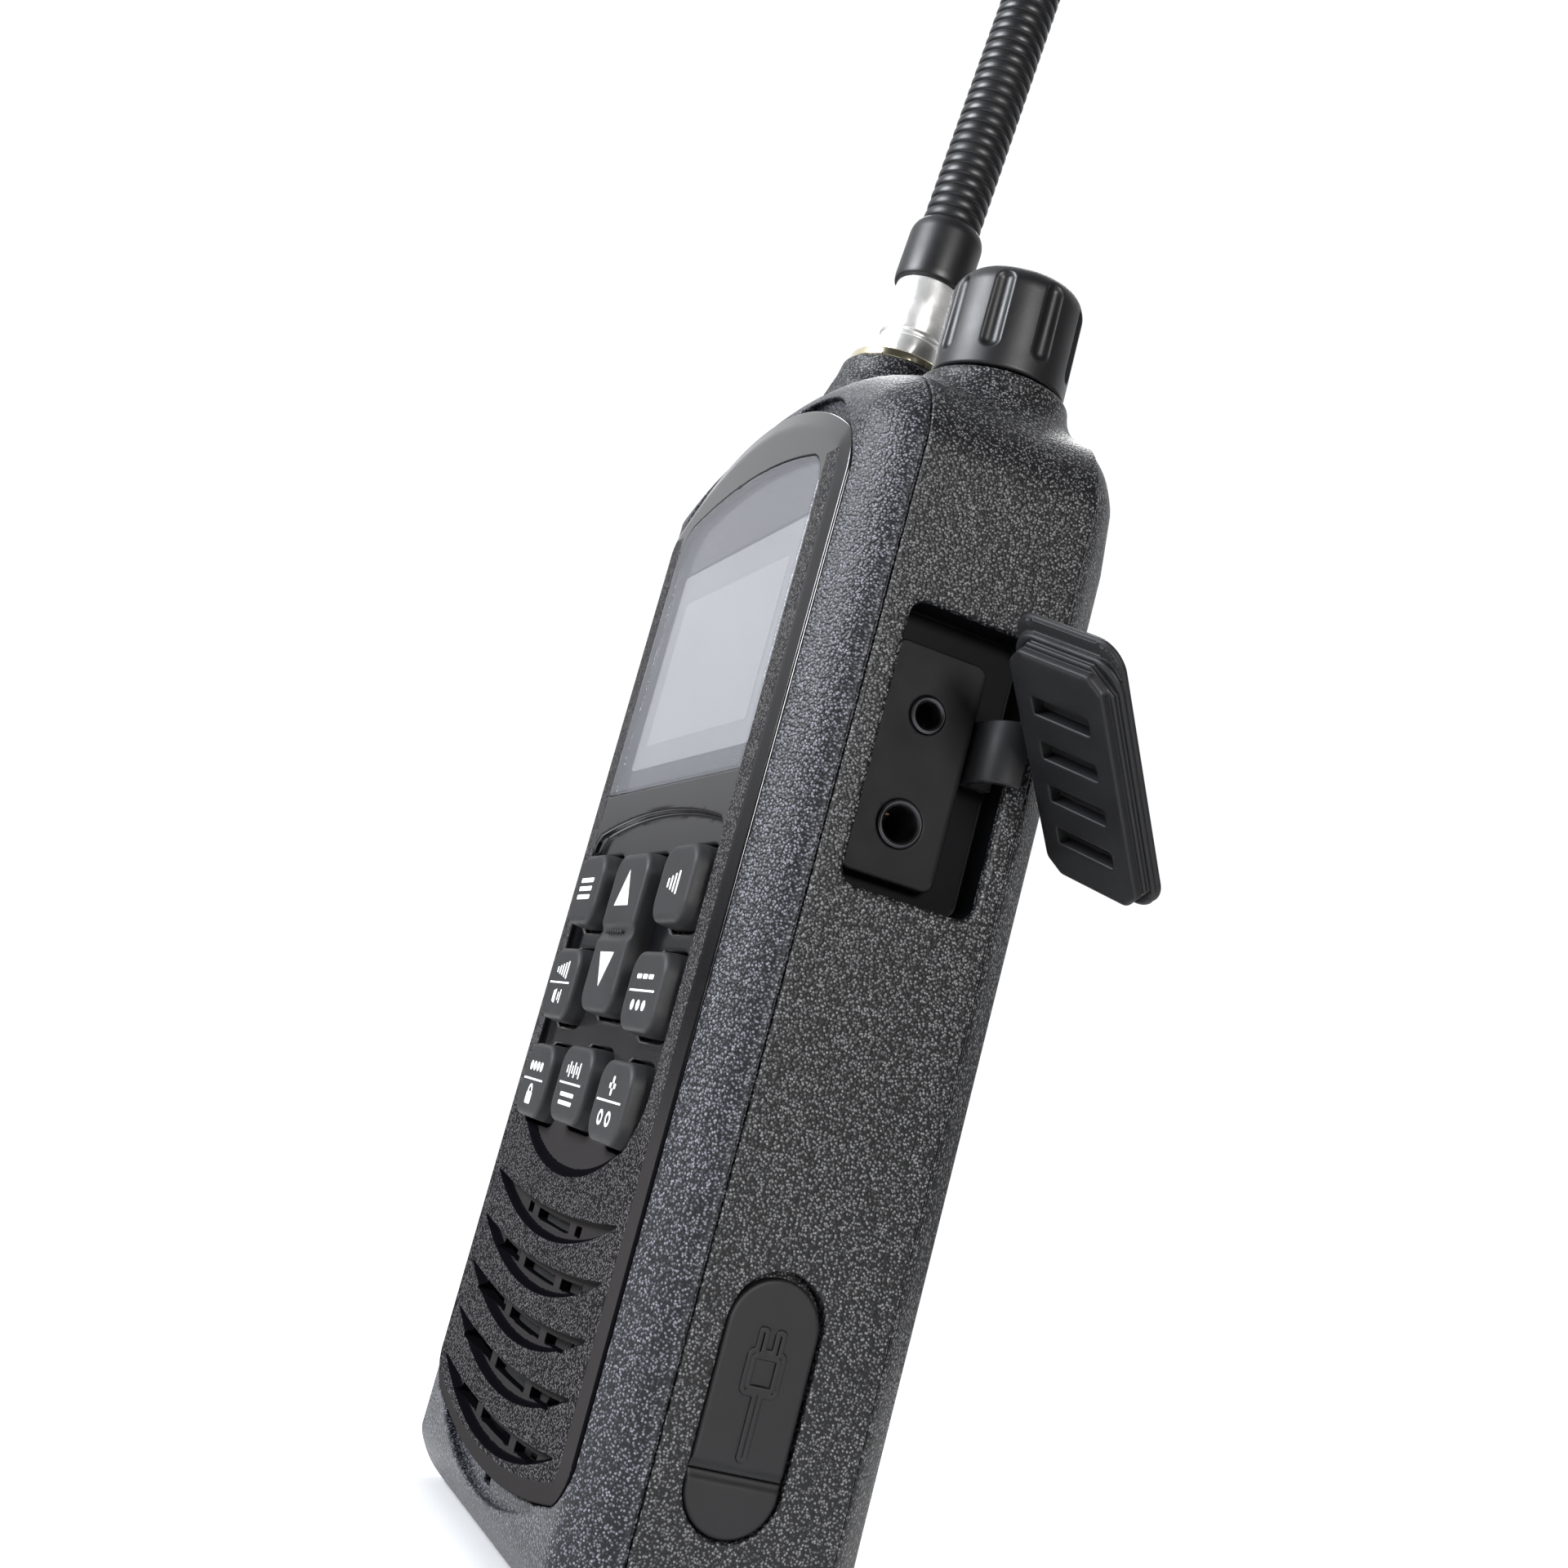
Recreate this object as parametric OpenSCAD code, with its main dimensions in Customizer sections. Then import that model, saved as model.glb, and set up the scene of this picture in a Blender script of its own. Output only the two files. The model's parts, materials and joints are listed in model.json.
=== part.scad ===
// Handheld two-way radio: right side carries the jack recess and the USB cover.
// Frame: origin at the centre of the flat base, x to the right seen from the front,
// y towards the back (y = 0 is the parting line of the two shells), z up. Millimetres.

/* [Housing] */
// Width of the housing across its two side faces
body_w = 67.4; // [64:0.2:72]
// Height of the housing at the middle of its arched top
body_h = 130; // [128:0.5:134]
// Radius of the arched top edge seen from the front
arch_r = 80.5; // [75:0.5:90]
// Radius of the four housing corners seen from the front
corner_r = 6; // [5.8:0.1:6.5]
// Thickness of the moulded walls
wall = 2; // [1.8:0.1:2.2]

/* [Front panel] */
// Half width of the raised front panel
panel_hw = 28.05; // [27.5:0.05:28.1]
// Half width of the display lens and of the keypad recess
lens_hw = 22.5; // [21.5:0.1:22.8]
// Travel of a key when it is pressed
key_travel = 0.5; // [0.3:0.1:0.5]

/* [Controls] */
// Radius of the volume knob
knob_r = 7.8; // [7.2:0.1:8]
// Height of the volume knob
knob_h = 12.2; // [11:0.2:13]
// Length of the whip above its collar
whip_l = 150; // [120:5:180]
// Lean of the antenna towards the back
antenna_lean = 4; // [0:1:6]

/* [Jack cover] */
// Angle that the open jack cover has swung from its place over the recess
cover_open = 114; // [100:1:120]
// Height that the open cover has risen along its channel
cover_lift = 3.4; // [3:0.2:5]

/* [Hidden] */
$fn = 48;

hw = body_w / 2;
slice = 0.02;

// Depths, front to back
y_front = -5.1;      // front plane of the front cover
y_face = -5.75;      // face of the raised panel
y_panel_back = -3.65;
y_recess = -4.85;    // floor of the keypad recess
y_key_top = -7.1;
y_wall = 15.9;       // front of the rear wall behind the battery
y_pack = 18.1;       // front of the battery pack
y_seam = 19.8;       // rear edge of the side walls
y_back = 25.2;       // back of the battery pack
panel_bevel = 2.1;
front_inset = 5.46;
pack_top = 97;

// Key rows: centre height, key centre from the middle, width
row_z = [69.8, 58.6, 47.3];
row_x = [16, 15.6, 14.9];
row_w = [10.2, 11, 10.6];
key_h = 8.6;
rocker_z = 64.7;
rocker_size = [11.6, 18];
key_gap = 0.3;

// Speaker louvres
louvre_z = 34;
louvre_pitch = 5.37;
louvre_r = 101;
louvre_reach = [10.4, 15.8, 18.1, 18.3, 16.2];
slot_h = 1.1;
speaker_c = [0, 24];

// Jack recess in the right side: y and z limits, floor and plate depths
recess_y = [3.1, 17.5];
recess_z = [72.6, 101.2];
recess_floor_x = hw - 4.5;
plate_x = hw - 2.34;
jack_y = 8.5;
jack_z = [80, 91.1];
jack_bore_r = [1.8, 1.3];
jack_rim_r = [2.35, 1.85];
jack_depth = 14;

// Jack cover: it swings about a tilted axis outside the rear edge of the recess
cover_y = [3.3, 17.1];
cover_z = [73, 100.8];
cover_clear = 2.6;
swing_axis = [0.5, -0.146, 0.853];
swing_point = [36, 17.7, 87.2];
strap_w = 6.4;
strap_z = 86;
cover_tab = 1.8;     // finger tab above the cover

// USB cover
usb_y = 8.15;
usb_z = 24.4;
usb_size = [9.3, 23.4];
usb_hinge_z = 18.4;
usb_socket_z = 28.4;

// Volume control
knob_c = [20, 11.6];
boss_top = 130.4;
shaft_r = 3;

// Antenna
antenna_base = [1, 7.4, 135.2];
sleeve_r = 3.85;
collar_r = 4.3;
whip_r = 3.4;
socket_r = 3.1;

post_x = 26.9;
post_z = [7.6, 110];
board_post = [[-20.5, 12], [20.5, 12], [-20.5, 100], [20.5, 100]];

ptt_c = [9.2, 88];
ptt_size = [11, 27];
side_key_size = [8, 9.5];
side_key_z = [108.8, 67.2];

clip_pin_y = 29.4;
clip_pin_z = 108;

function arc(c, r, a0, a1, n) =
    [for (i = [0:n]) let (a = a0 + (a1 - a0) * i / n) [c[0] + r * cos(a), c[1] + r * sin(a)]];
function inner_arc(c, r, a0, a1, n) =
    [for (i = [1:n - 1]) let (a = a0 + (a1 - a0) * i / n) [c[0] + r * cos(a), c[1] + r * sin(a)]];

// An outline with rounded corners, a bowed bottom and an arched top, drawn d inside
function bowed(half, bottom, low_arch, r_low, top, r_high, arch, d) =
    let (bx = half - r_low, zb = bottom + low_arch, b = acos(bx / (low_arch - r_low)),
         bz = zb - (low_arch - r_low) * sin(b),
         cx = half - r_high, za = top - arch, a = acos(cx / (arch - r_high)),
         cz = za + (arch - r_high) * sin(a))
    concat(arc([-bx, bz], r_low - d, 180, 180 + b, 5),
           inner_arc([0, zb], low_arch - d, 180 + b, 360 - b, 16),
           arc([bx, bz], r_low - d, 360 - b, 360, 5),
           arc([cx, cz], r_high - d, 0, a, 5),
           inner_arc([0, za], arch - d, a, 180 - a, 16),
           arc([-cx, cz], r_high - d, 180 - a, 180, 5));
// An outline with rounded corners and an arched top, drawn d inside its full size
function arched(half, bottom, top, r_low, r_high, arch, d) =
    let (cx = half - r_high, za = top - arch,
         cz = za + sqrt(pow(arch - r_high, 2) - cx * cx), a = acos(cx / (arch - r_high)))
    concat(arc([-(half - r_low), bottom + r_low], r_low - d, 180, 270, 6),
           arc([half - r_low, bottom + r_low], r_low - d, 270, 360, 6),
           arc([cx, cz], r_high - d, 0, a, 5),
           inner_arc([0, za], arch - d, a, 180 - a, 16),
           arc([-cx, cz], r_high - d, 180 - a, 180, 5));
function body_outline(d) = arched(hw, 0, body_h, corner_r, corner_r, arch_r, d);
function panel_outline(d) = bowed(panel_hw, 8.1, 105.3, 3.6, 124.8, 3.2, 51, d);
function lens_outline(d) = arched(lens_hw, 81.9, 118.2, 1, 4, 92, d);
// The keypad recess: arched top, half an ellipse below
function keypad_outline() =
    concat([for (i = [0:24]) [-lens_hw * cos(i * 7.5), 49 - 10.6 * sin(i * 7.5)]],
           inner_arc([lens_hw - 2, 74.3], 2, 0, 80, 4),
           inner_arc([0, 78.6 - 125], 125, 80.9, 99.1, 12),
           inner_arc([-lens_hw + 2, 74.3], 2, 100, 180, 4));
// A band that follows a louvre: from x0 to x1, dz below its line, h high
function band(z, x0, x1, dz, h) =
    let (n = 6, line = function (x, o) [x, z + louvre_r - sqrt(pow(louvre_r - o, 2) - x * x)])
    concat([for (i = [0:n]) line(x0 + (x1 - x0) * i / n, dz)],
           [for (i = [n:-1:0]) line(x0 + (x1 - x0) * i / n, dz + h)]);

module slab(y0, y1) translate([0, y1, 0]) rotate([90, 0, 0]) linear_extrude(y1 - y0) children();
module side_slab(x0, x1)
    translate([x0, 0, 0]) rotate([90, 0, 90]) linear_extrude(x1 - x0) children();
module body_slice(y, d) slab(y, y + slice) polygon(body_outline(d));
module block(x, y, z) translate([x[0], y[0], z[0]]) cube([x[1] - x[0], y[1] - y[0], z[1] - z[0]]);
module rounded(size, r) {
    translate([-size[0] / 2 + r, -size[1] / 2]) square([size[0] - 2 * r, size[1]]);
    translate([-size[0] / 2, -size[1] / 2 + r]) square([size[0], size[1] - 2 * r]);
    for (i = [-1, 1], j = [-1, 1])
        translate([i * (size[0] / 2 - r), j * (size[1] / 2 - r)]) circle(r);
}
module y_cylinder(x, z, r, y0, y1) translate([x, y0, z]) rotate([-90, 0, 0]) cylinder(y1 - y0, r, r);
module x_cylinder(y, z, r, x0, x1) translate([x0, y, z]) rotate([0, 90, 0]) cylinder(x1 - x0, r, r);
module z_cylinder(x, y, r, z0, z1) translate([x, y, z0]) cylinder(z1 - z0, r, r);
module at_antenna() translate(antenna_base) rotate([-antenna_lean, 0, 0]) children();
module at_posts() for (x = [-post_x, post_x], z = post_z) translate([x, 0, z]) children();
module open_cover()
    translate(swing_point + [0, 0, cover_lift]) rotate(a = cover_open, v = swing_axis)
        translate([cover_clear, 0, 0] - swing_point) children();

// ---- front of the housing

module front_cover() color("#2b2c2e") {
    difference() {
        hull() {
            body_slice(y_front, front_inset);
            body_slice(-3, 2.2);
            body_slice(-0.4, 0);
            body_slice(-slice, 0.25);
        }
        hull() {
            body_slice(-2.4, front_inset + 0.3);
            body_slice(0.1, wall + 0.25);
        }
        slab(y_front - 1, y_panel_back + 0.05) polygon(panel_outline(-0.12));
        slab(y_front - 1, 0) polygon(arched(25.2, 11, 121.5, 4, 3, 51, 0));
        // crescents beside the arch of the panel, and the scoop below it
        slab(y_front - 1, y_front + 1.4) intersection() {
            polygon(arched(26.6, 60, 125.2, 1, 3.2, 62, 0));
            translate([-30, 112]) square([60, 20]);
        }
        slab(y_front - 1, y_front + 1.1) polygon(arched(20, 6.2, 20, 5.9, 3, 60, 0));
        y_cylinder(0, 7.2, 0.7, -6, 0);
    }
    difference() {
        at_posts() y_cylinder(0, 0, 2.3, -1.4, y_wall - 0.1);
        at_posts() y_cylinder(0, 0, 1, 6, y_wall + 1);
    }
}

module key_hole(c, size, extra) slab(-8, 0) translate(c) rounded(size + 2 * extra * [1, 1], 2.6);

module front_panel() color("#303236") difference() {
    union() {
        slab(y_front, y_panel_back) polygon(panel_outline(0));
        hull() {
            slab(y_front, y_front + slice) polygon(panel_outline(0));
            slab(y_face, y_face + slice) polygon(panel_outline(panel_bevel));
        }
    }
    slab(y_face - 1, -4.7) polygon(lens_outline(-0.1));
    slab(y_face - 1, 0) translate([0, 97.6]) rounded([41, 25.4], 1);
    slab(y_face - 1, y_recess) polygon(keypad_outline());
    for (i = [0:2], s = [-1, 1])
        key_hole([s * row_x[i], row_z[i]], [row_w[i], key_h], key_gap);
    key_hole([0, rocker_z], rocker_size, key_gap);
    key_hole([0, row_z[2] + 0.6], [11.4, key_h], key_gap);
    for (i = [0:4]) {
        z = louvre_z - i * louvre_pitch;
        slab(y_face - 1, 0) polygon(band(z, -6, 6, 0, slot_h));
        for (s = [-1, 1])
            slab(y_face - 1, 0) polygon(band(z, s * 8.5, s * louvre_reach[i], 0, slot_h));
        slab(y_face - 1, y_face + 0.5) polygon(band(z, -louvre_reach[i] - 3, louvre_reach[i] + 3, -1.6, 3));
    }
}

module display_lens() color("#8b8d94") slab(y_face - 0.1, -4.75) polygon(lens_outline(0));

module display_module() color("#c9cbc8") {
    slab(-4.6, -3.45) translate([0, 97.6]) rounded([40.4, 24.8], 0.8);
    slab(-3.5, -1.9) translate([0, 97.6]) rounded([46, 30], 1);
}

module keypad_mat() color("#3a3a3a") {
    slab(-1.5, -0.7) translate([0, 60.5]) rounded([46, 37], 2);
    for (i = [0:2], s = [-1, 1]) y_cylinder(s * row_x[i], row_z[i], 2, -1.95, -1.4);
    for (z = [rocker_z - 6, rocker_z + 6, row_z[2] + 0.6]) y_cylinder(0, z, 2, -1.95, -1.4);
}

// A key: crowned cap in front, retaining flange behind the panel
module key_cap(c, size, flange = -3.42) color("#2e3033") {
    hull() {
        slab(y_key_top, y_key_top + slice) translate(c) rounded(size - [1.6, 1.6], 1.8, $fn = 32);
        slab(y_key_top + 0.8, y_key_top + 0.8 + slice) translate(c) rounded(size, 2.5, $fn = 32);
    }
    slab(y_key_top + 0.8, flange + 0.02) translate(c) rounded(size, 2.5);
    slab(flange, -2.6) translate(c) rounded(size + [1.4, 1.4], 3);
}
module key_1_left() key_cap([-row_x[0], row_z[0]], [row_w[0], key_h]);
module key_1_right() key_cap([row_x[0], row_z[0]], [row_w[0], key_h]);
module key_2_left() key_cap([-row_x[1], row_z[1]], [row_w[1], key_h]);
module key_2_right() key_cap([row_x[1], row_z[1]], [row_w[1], key_h]);
module key_3_left() key_cap([-row_x[2], row_z[2]], [row_w[2], key_h]);
module key_3_middle() key_cap([0, row_z[2] + 0.6], [11.4, key_h]);
module key_3_right() key_cap([row_x[2], row_z[2]], [row_w[2], key_h]);
module key_rocker() key_cap([0, rocker_z], rocker_size, -3.1);

// ---- inside the housing

module speaker() color("#55585c") {
    translate([speaker_c[0], -2.2, speaker_c[1]]) rotate([-90, 0, 0]) rotate_extrude()
        polygon([[13, 0], [16.5, 0], [16.5, 1.4], [14, 1.4], [9, 3.4], [9, 6.6], [0, 6.6],
                 [0, 1.6], [5, 1.6], [12, 0.4]]);
}

module speaker_felt() color("#1c1c1c")
    y_cylinder(speaker_c[0], speaker_c[1] + 2.2, 14, -3.6, -2.9);

module microphone() color("#b9bcc0") {
    difference() {
        y_cylinder(0, 6, 2.6, 0.2, 2.4);
        y_cylinder(0, 6, 0.6, 0, 1);
    }
    for (x = [-1.2, 1.2]) y_cylinder(x, 6, 0.3, 2.3, 4);
}

module control_board() color("#1f5a36") difference() {
    block([-24, 24], [0.4, 1.4], [45, 121]);
    for (x = [-21.5, 21.5], z = [47.5, 117]) y_cylinder(x, z, 1.1, 0, 2);
}

module main_board() color("#1f5a36") difference() {
    union() {
        block([-24, 24], [11.8, 13], [6, 106]);
        block([-18, -8], [10.6, 11.8], [14, 30]);
        block([4, 14], [10.8, 11.8], [24, 34]);
    }
    for (p = board_post) y_cylinder(p[0], p[1], 1.1, 11, 14);
}

module shield_can() color("#b4b7ba") difference() {
    block([-24, 12], [7.4, 11.8], [48, 96]);
    block([-23.5, 11.5], [7.9, 12], [48.5, 95.5]);
}

module chassis() color("#9a9da0") difference() {
    union() {
        block([-24, 24], [14, 15.6], [6, 106]);
        for (p = board_post) y_cylinder(p[0], p[1], 2.2, 13, 14.2);
    }
    block([-10, 10], [13, 17], [83, 94]);
    for (p = board_post) y_cylinder(p[0], p[1], 0.95, 12, 16);
}

module board_screws() color("#c0c2c4") for (p = board_post) {
    y_cylinder(p[0], p[1], 1.8, 10.8, 11.8);
    y_cylinder(p[0], p[1], 0.9, 11.7, 15.4);
}

module side_switch_board() color("#1f5a36") {
    block([-26.8, -26], [2.5, 14], [62, 106.9]);
    for (z = [ptt_c[1], side_key_z[1]]) block([-27.9, -26.7], [6.7, 11.7], [z - 2.5, z + 2.5]);
    block([-27.9, -26.7], [6.7, 11.7], [101.5, 106.9]);
}

module case_gasket() color("#6b2f2a") slab(0.15, 1.05) difference() {
    polygon(body_outline(wall + 0.05));
    polygon(body_outline(wall + 0.75));
}

module terminal_block() color("#2a2a2a") {
    block([-8, 8], [13.2, 18], [86, 91]);
    for (x = [-5, 0, 5]) y_cylinder(x, 88.5, 0.8, 17.9, 18.05);
}

// ---- rear shell

module rear_outer() {
    hull() {
        slab(0, 16.5) polygon(body_outline(0));
        slab(y_seam - 0.1, y_seam) polygon(body_outline(0.5));
    }
    intersection() {
        hull() {
            body_slice(y_seam - 2, 0.4);
            body_slice(22.4, 2.2);
            body_slice(y_back - 0.2, front_inset);
        }
        block([-hw, hw], [y_seam - 2, 30], [pack_top + 0.4, body_h]);
    }
    translate([knob_c[0], knob_c[1], 118]) cylinder(boss_top - 118, 10.2, 8.5);
    intersection() {
        at_antenna() translate([0, 0, -14]) cylinder(14, 8.4, 6.5);
        block([-20, 20], [0.05, 30], [110, body_h + 10]);
    }
}

module stadium(w, h) {
    square([w, h - w], center = true);
    for (s = [-1, 1]) translate([0, s * (h - w) / 2]) circle(w / 2);
}

module rear_shell() color("#2b2c2e") {
    difference() {
        rear_outer();
        difference() {
            slab(-1, y_wall) polygon(body_outline(wall));
            block([27.4, hw], [1.1, 20], [70.6, 103.2]);
            block([29.6, hw], [1.6, 14.7], [9.9, 39.6]);
            translate([knob_c[0], knob_c[1], 122.5]) cylinder(12, 7, 7);
            at_antenna() translate([0, 0, -10.4]) cylinder(12, 5.6, 5.6);
        }
        // bay for the battery pack
        block([-hw + wall, hw - wall], [y_pack - 0.2, 30], [wall, pack_top + 0.4]);
        block([-hw - 1, hw + 1], [y_seam, 30], [-1, pack_top + 0.4]);
        // hollow of the upper block
        block([-24, 24], [y_wall - 1, 22.6], [100.5, 117]);
        // jack recess
        side_slab(recess_floor_x, hw + 1)
            translate([(recess_y[0] + recess_y[1]) / 2, (recess_z[0] + recess_z[1]) / 2])
                rounded([recess_y[1] - recess_y[0], recess_z[1] - recess_z[0]], 1.6);
        for (i = [0, 1]) x_cylinder(jack_y, jack_z[i], 3.05, 20, recess_floor_x + 1);
        // USB cover pocket and port
        side_slab(hw - 1.7, hw + 1) translate([usb_y, usb_z]) stadium(usb_size[0] + 0.6, usb_size[1] + 0.6);
        side_slab(20, hw) translate([usb_y, usb_socket_z]) rounded([4.2, 10.2], 1);
        // volume control, antenna, screws, contacts
        z_cylinder(knob_c[0], knob_c[1], 4.3, 110, 140);
        at_antenna() translate([0, 0, -16]) cylinder(20, socket_r + 0.1, socket_r + 0.1);
        at_posts() y_cylinder(0, 0, 1.2, y_wall - 1, 20);
        at_posts() y_cylinder(0, 0, 2, y_wall + 0.6, 30);
        block([-8.2, 8.2], [y_wall - 1, 19], [85.8, 91.2]);
        // push-to-talk button and side keys
        side_slab(-hw - 1, -hw + wall + 0.5) translate(ptt_c) rounded(ptt_size + [0.6, 0.6], 3);
        for (z = side_key_z)
            side_slab(-hw - 1, -hw + wall + 0.5) translate([ptt_c[0], z])
                rounded(side_key_size + [0.6, 0.6], 2.5);
        // battery latch slot and clip screws
        block([-5.3, 5.3], [22.7, 24.3], [pack_top, pack_top + 2.4]);
        for (x = [-6.4, 6.4]) y_cylinder(x, 112.8, 1, 20, 27);
    }
}

module case_screws() color("#8d9094") at_posts() {
    y_cylinder(0, 0, 1.85, y_wall + 0.65, y_wall + 1.7);
    y_cylinder(0, 0, 0.95, 7, y_wall + 0.7);
}

// ---- jacks and their cover

module jack_plate() color("#26282b") {
    difference() {
        side_slab(recess_floor_x + 0.02, plate_x) translate([8.55, 86]) rounded([10.3, 23.4], 1.2);
        for (i = [0, 1]) x_cylinder(jack_y, jack_z[i], jack_rim_r[i] + 0.02, 20, hw);
    }
}
module jack_barrel(i) difference() {
    union() {
        x_cylinder(jack_y, jack_z[i], jack_rim_r[i], plate_x - 3, plate_x + 0.35);
        x_cylinder(jack_y, jack_z[i], 3, plate_x - jack_depth - 1, recess_floor_x - 0.02);
    }
    x_cylinder(jack_y, jack_z[i], jack_bore_r[i], plate_x + 0.35 - jack_depth, hw);
}
module jack_barrel_large() color("#3c3f43") jack_barrel(0);
module jack_barrel_small() color("#8f9296") jack_barrel(1);

module cover_plate(x0, x1, inset, r, tab = 0) side_slab(x0, x1)
    translate([(cover_y[0] + cover_y[1]) / 2, (cover_z[0] + cover_z[1] + tab) / 2])
        rounded([cover_y[1] - cover_y[0] - 2 * inset, cover_z[1] - cover_z[0] + tab - 2 * inset], r);

module jack_cover() color("#242629") open_cover() difference() {
    union() {
        hull() {
            cover_plate(hw + 0.9, hw + 0.9 + slice, 0.9, 2.4, cover_tab, $fn = 32);
            cover_plate(hw + 0.1, hw + 0.2, 0, 3, cover_tab, $fn = 32);
        }
        cover_plate(hw - 0.5, hw + 0.12, 0, 3);
        cover_plate(plate_x + 0.3, hw - 0.45, 0.4, 2.2);
    }
    for (i = [-1.5:1.5])
        side_slab(plate_x - 1, plate_x + 1.7) translate([10.2, 86.6 + i * 5.05]) square([7.4, 2], center = true);
}

// Toe of the strap, which slides in the channel behind the jack plate
module strap_toe() color("#242629")
    block([recess_floor_x + 0.3, recess_floor_x + 1.8], [14.2, 17.2], [strap_z, strap_z + strap_w]);

// The strap bows outwards from its toe to the hinge edge of the cover
strap_path = [[31.4, 16], [32.6, 16.2], [33.9, 16.35], [34.8, 16.8], [35.2, 17.5]];
module jack_cover_strap() color("#242629") translate([0, 0, strap_z]) linear_extrude(strap_w)
    polygon(concat([for (p = strap_path) p + [0.2, 0.5]],
                   [for (i = [len(strap_path) - 1:-1:0]) strap_path[i] - [0.2, 0.5]]));

module usb_socket() color("#a9abae") {
    difference() {
        side_slab(23, 31.2) translate([usb_y, usb_socket_z]) rounded([3.4, 9.2], 1.5);
        side_slab(24, 32) translate([usb_y, usb_socket_z]) rounded([2.6, 8.4], 1.2);
    }
    side_slab(24 - slice, 30) translate([usb_y, usb_socket_z]) square([0.7, 6.6], center = true);
    block([20.5, 26], [usb_y + 1.65, 11.8], [usb_socket_z - 4, usb_socket_z + 4]);
}

module usb_blank() side_slab(hw - 1.6, hw - 0.2) translate([usb_y, usb_z]) stadium(usb_size[0], usb_size[1]);
module usb_cover() color("#2f3236") {
    intersection() {
        usb_blank();
        block([20, 40], [0, 20], [usb_hinge_z + 0.25, 60]);
    }
    side_slab(hw - 2.4, hw - 1.5) translate([usb_y, usb_socket_z]) rounded([3.2, 9], 1);
}
module usb_cover_root() color("#2f3236") intersection() {
    usb_blank();
    block([20, 40], [0, 20], [0, usb_hinge_z - 0.25]);
}

// ---- volume control

module volume_pot() color("#6f7479") difference() {
    union() {
        block([knob_c[0] - 5.5, knob_c[0] + 5.5], [knob_c[1] - 5.5, knob_c[1] + 4], [112, 120]);
        z_cylinder(knob_c[0], knob_c[1], 4.2, 119, boss_top + 2);
    }
    z_cylinder(knob_c[0], knob_c[1], shaft_r + 0.05, 116, 140);
}
module pot_nut() color("#b9bcc0") difference() {
    translate([knob_c[0], knob_c[1], boss_top + 0.02]) cylinder(1.7, 5.6, 5.6, $fn = 6);
    z_cylinder(knob_c[0], knob_c[1], 4.22, 130, 140);
}
module volume_shaft() color("#9fa2a6") z_cylinder(knob_c[0], knob_c[1], shaft_r, 116.2, boss_top + 8.4);

module volume_knob() color("#1d1e20") translate([knob_c[0], knob_c[1], boss_top + 0.4]) difference() {
    rotate_extrude($fn = 96) polygon(concat([[0, 0.4], [knob_r - 0.5, 0], [knob_r, 0.5]],
        arc([knob_r - 2.7, knob_h - 3.4], 2.6, 0, 62, 8),
        [[3.2, knob_h - 0.15], [0, knob_h]]));
    difference() {
        translate([0, 0, -1]) cylinder(8.6, 6.3, 6.3);
        translate([0, 0, 2.6]) cylinder(8, 4.1, 4.1);
    }
    translate([0, 0, -1]) cylinder(9, shaft_r + 0.01, shaft_r + 0.01);
    for (i = [0:7]) rotate(6 + 45 * i) translate([knob_r + 0.3, 0, 2.8]) {
        cylinder(7.2, 1, 1);
        sphere(1);
        translate([0, 0, 7.2]) sphere(1);
    }
}

// ---- antenna

module antenna_socket() color("#c8b98c") at_antenna() difference() {
    union() {
        translate([0, 0, -13]) cylinder(21, socket_r, socket_r);
        translate([0, 0, -13]) cylinder(1.6, 5, 5);
    }
    translate([0, 0, 0]) cylinder(9, 0.9, 0.9);
}
module antenna_washer() color("#d8cda8") at_antenna() difference() {
    translate([0, 0, 0.05]) cylinder(1.4, 6.1, 6.1);
    translate([0, 0, -1]) cylinder(4, socket_r + 0.05, socket_r + 0.05);
}
module antenna_sleeve() color("#e4e3df") at_antenna() difference() {
    translate([0, 0, 1.9]) cylinder(9.9, sleeve_r, sleeve_r);
    translate([0, 0, 1]) cylinder(8, socket_r + 0.06, socket_r + 0.06);
}
module antenna_collar() color("#17181a") at_antenna() translate([0, 0, 11.8]) {
    cylinder(7.4, collar_r, collar_r);
    translate([0, 0, 7.4]) cylinder(1, collar_r, whip_r + 0.1);
}
module antenna_whip() color("#1b1c1e") at_antenna() translate([0, 0, 20.2]) rotate_extrude()
    polygon(concat([[0, 0]], [for (i = [0:whip_l / 2.5 - 1], k = [0, 1]) [whip_r - 0.12 * k, 2.5 * (i + k / 2)]],
                   [[whip_r, whip_l], [0, whip_l]]));
module antenna_cap() color("#17181a") at_antenna() translate([0, 0, 20.2 + whip_l]) {
    cylinder(9, 3.9, 3.7);
    translate([0, 0, 9]) sphere(3.7);
}

// ---- left side

module side_button(c, size, proud, r) {
    side_slab(-hw - proud, -hw + wall + 0.5) translate(c) rounded(size, r);
    side_slab(-hw + wall + 0.45, -hw + wall + 1.3) translate(c) rounded(size + [1.6, 1.6], r);
}
module ptt_button() color("#242629") side_button(ptt_c, ptt_size, 1.5, 2.7);
module side_key_upper() color("#242629") side_button([ptt_c[0], side_key_z[0]], side_key_size, 0.9, 2.2);
module side_key_lower() color("#242629") side_button([ptt_c[0], side_key_z[1]], side_key_size, 0.9, 2.2);

// ---- battery pack

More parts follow.
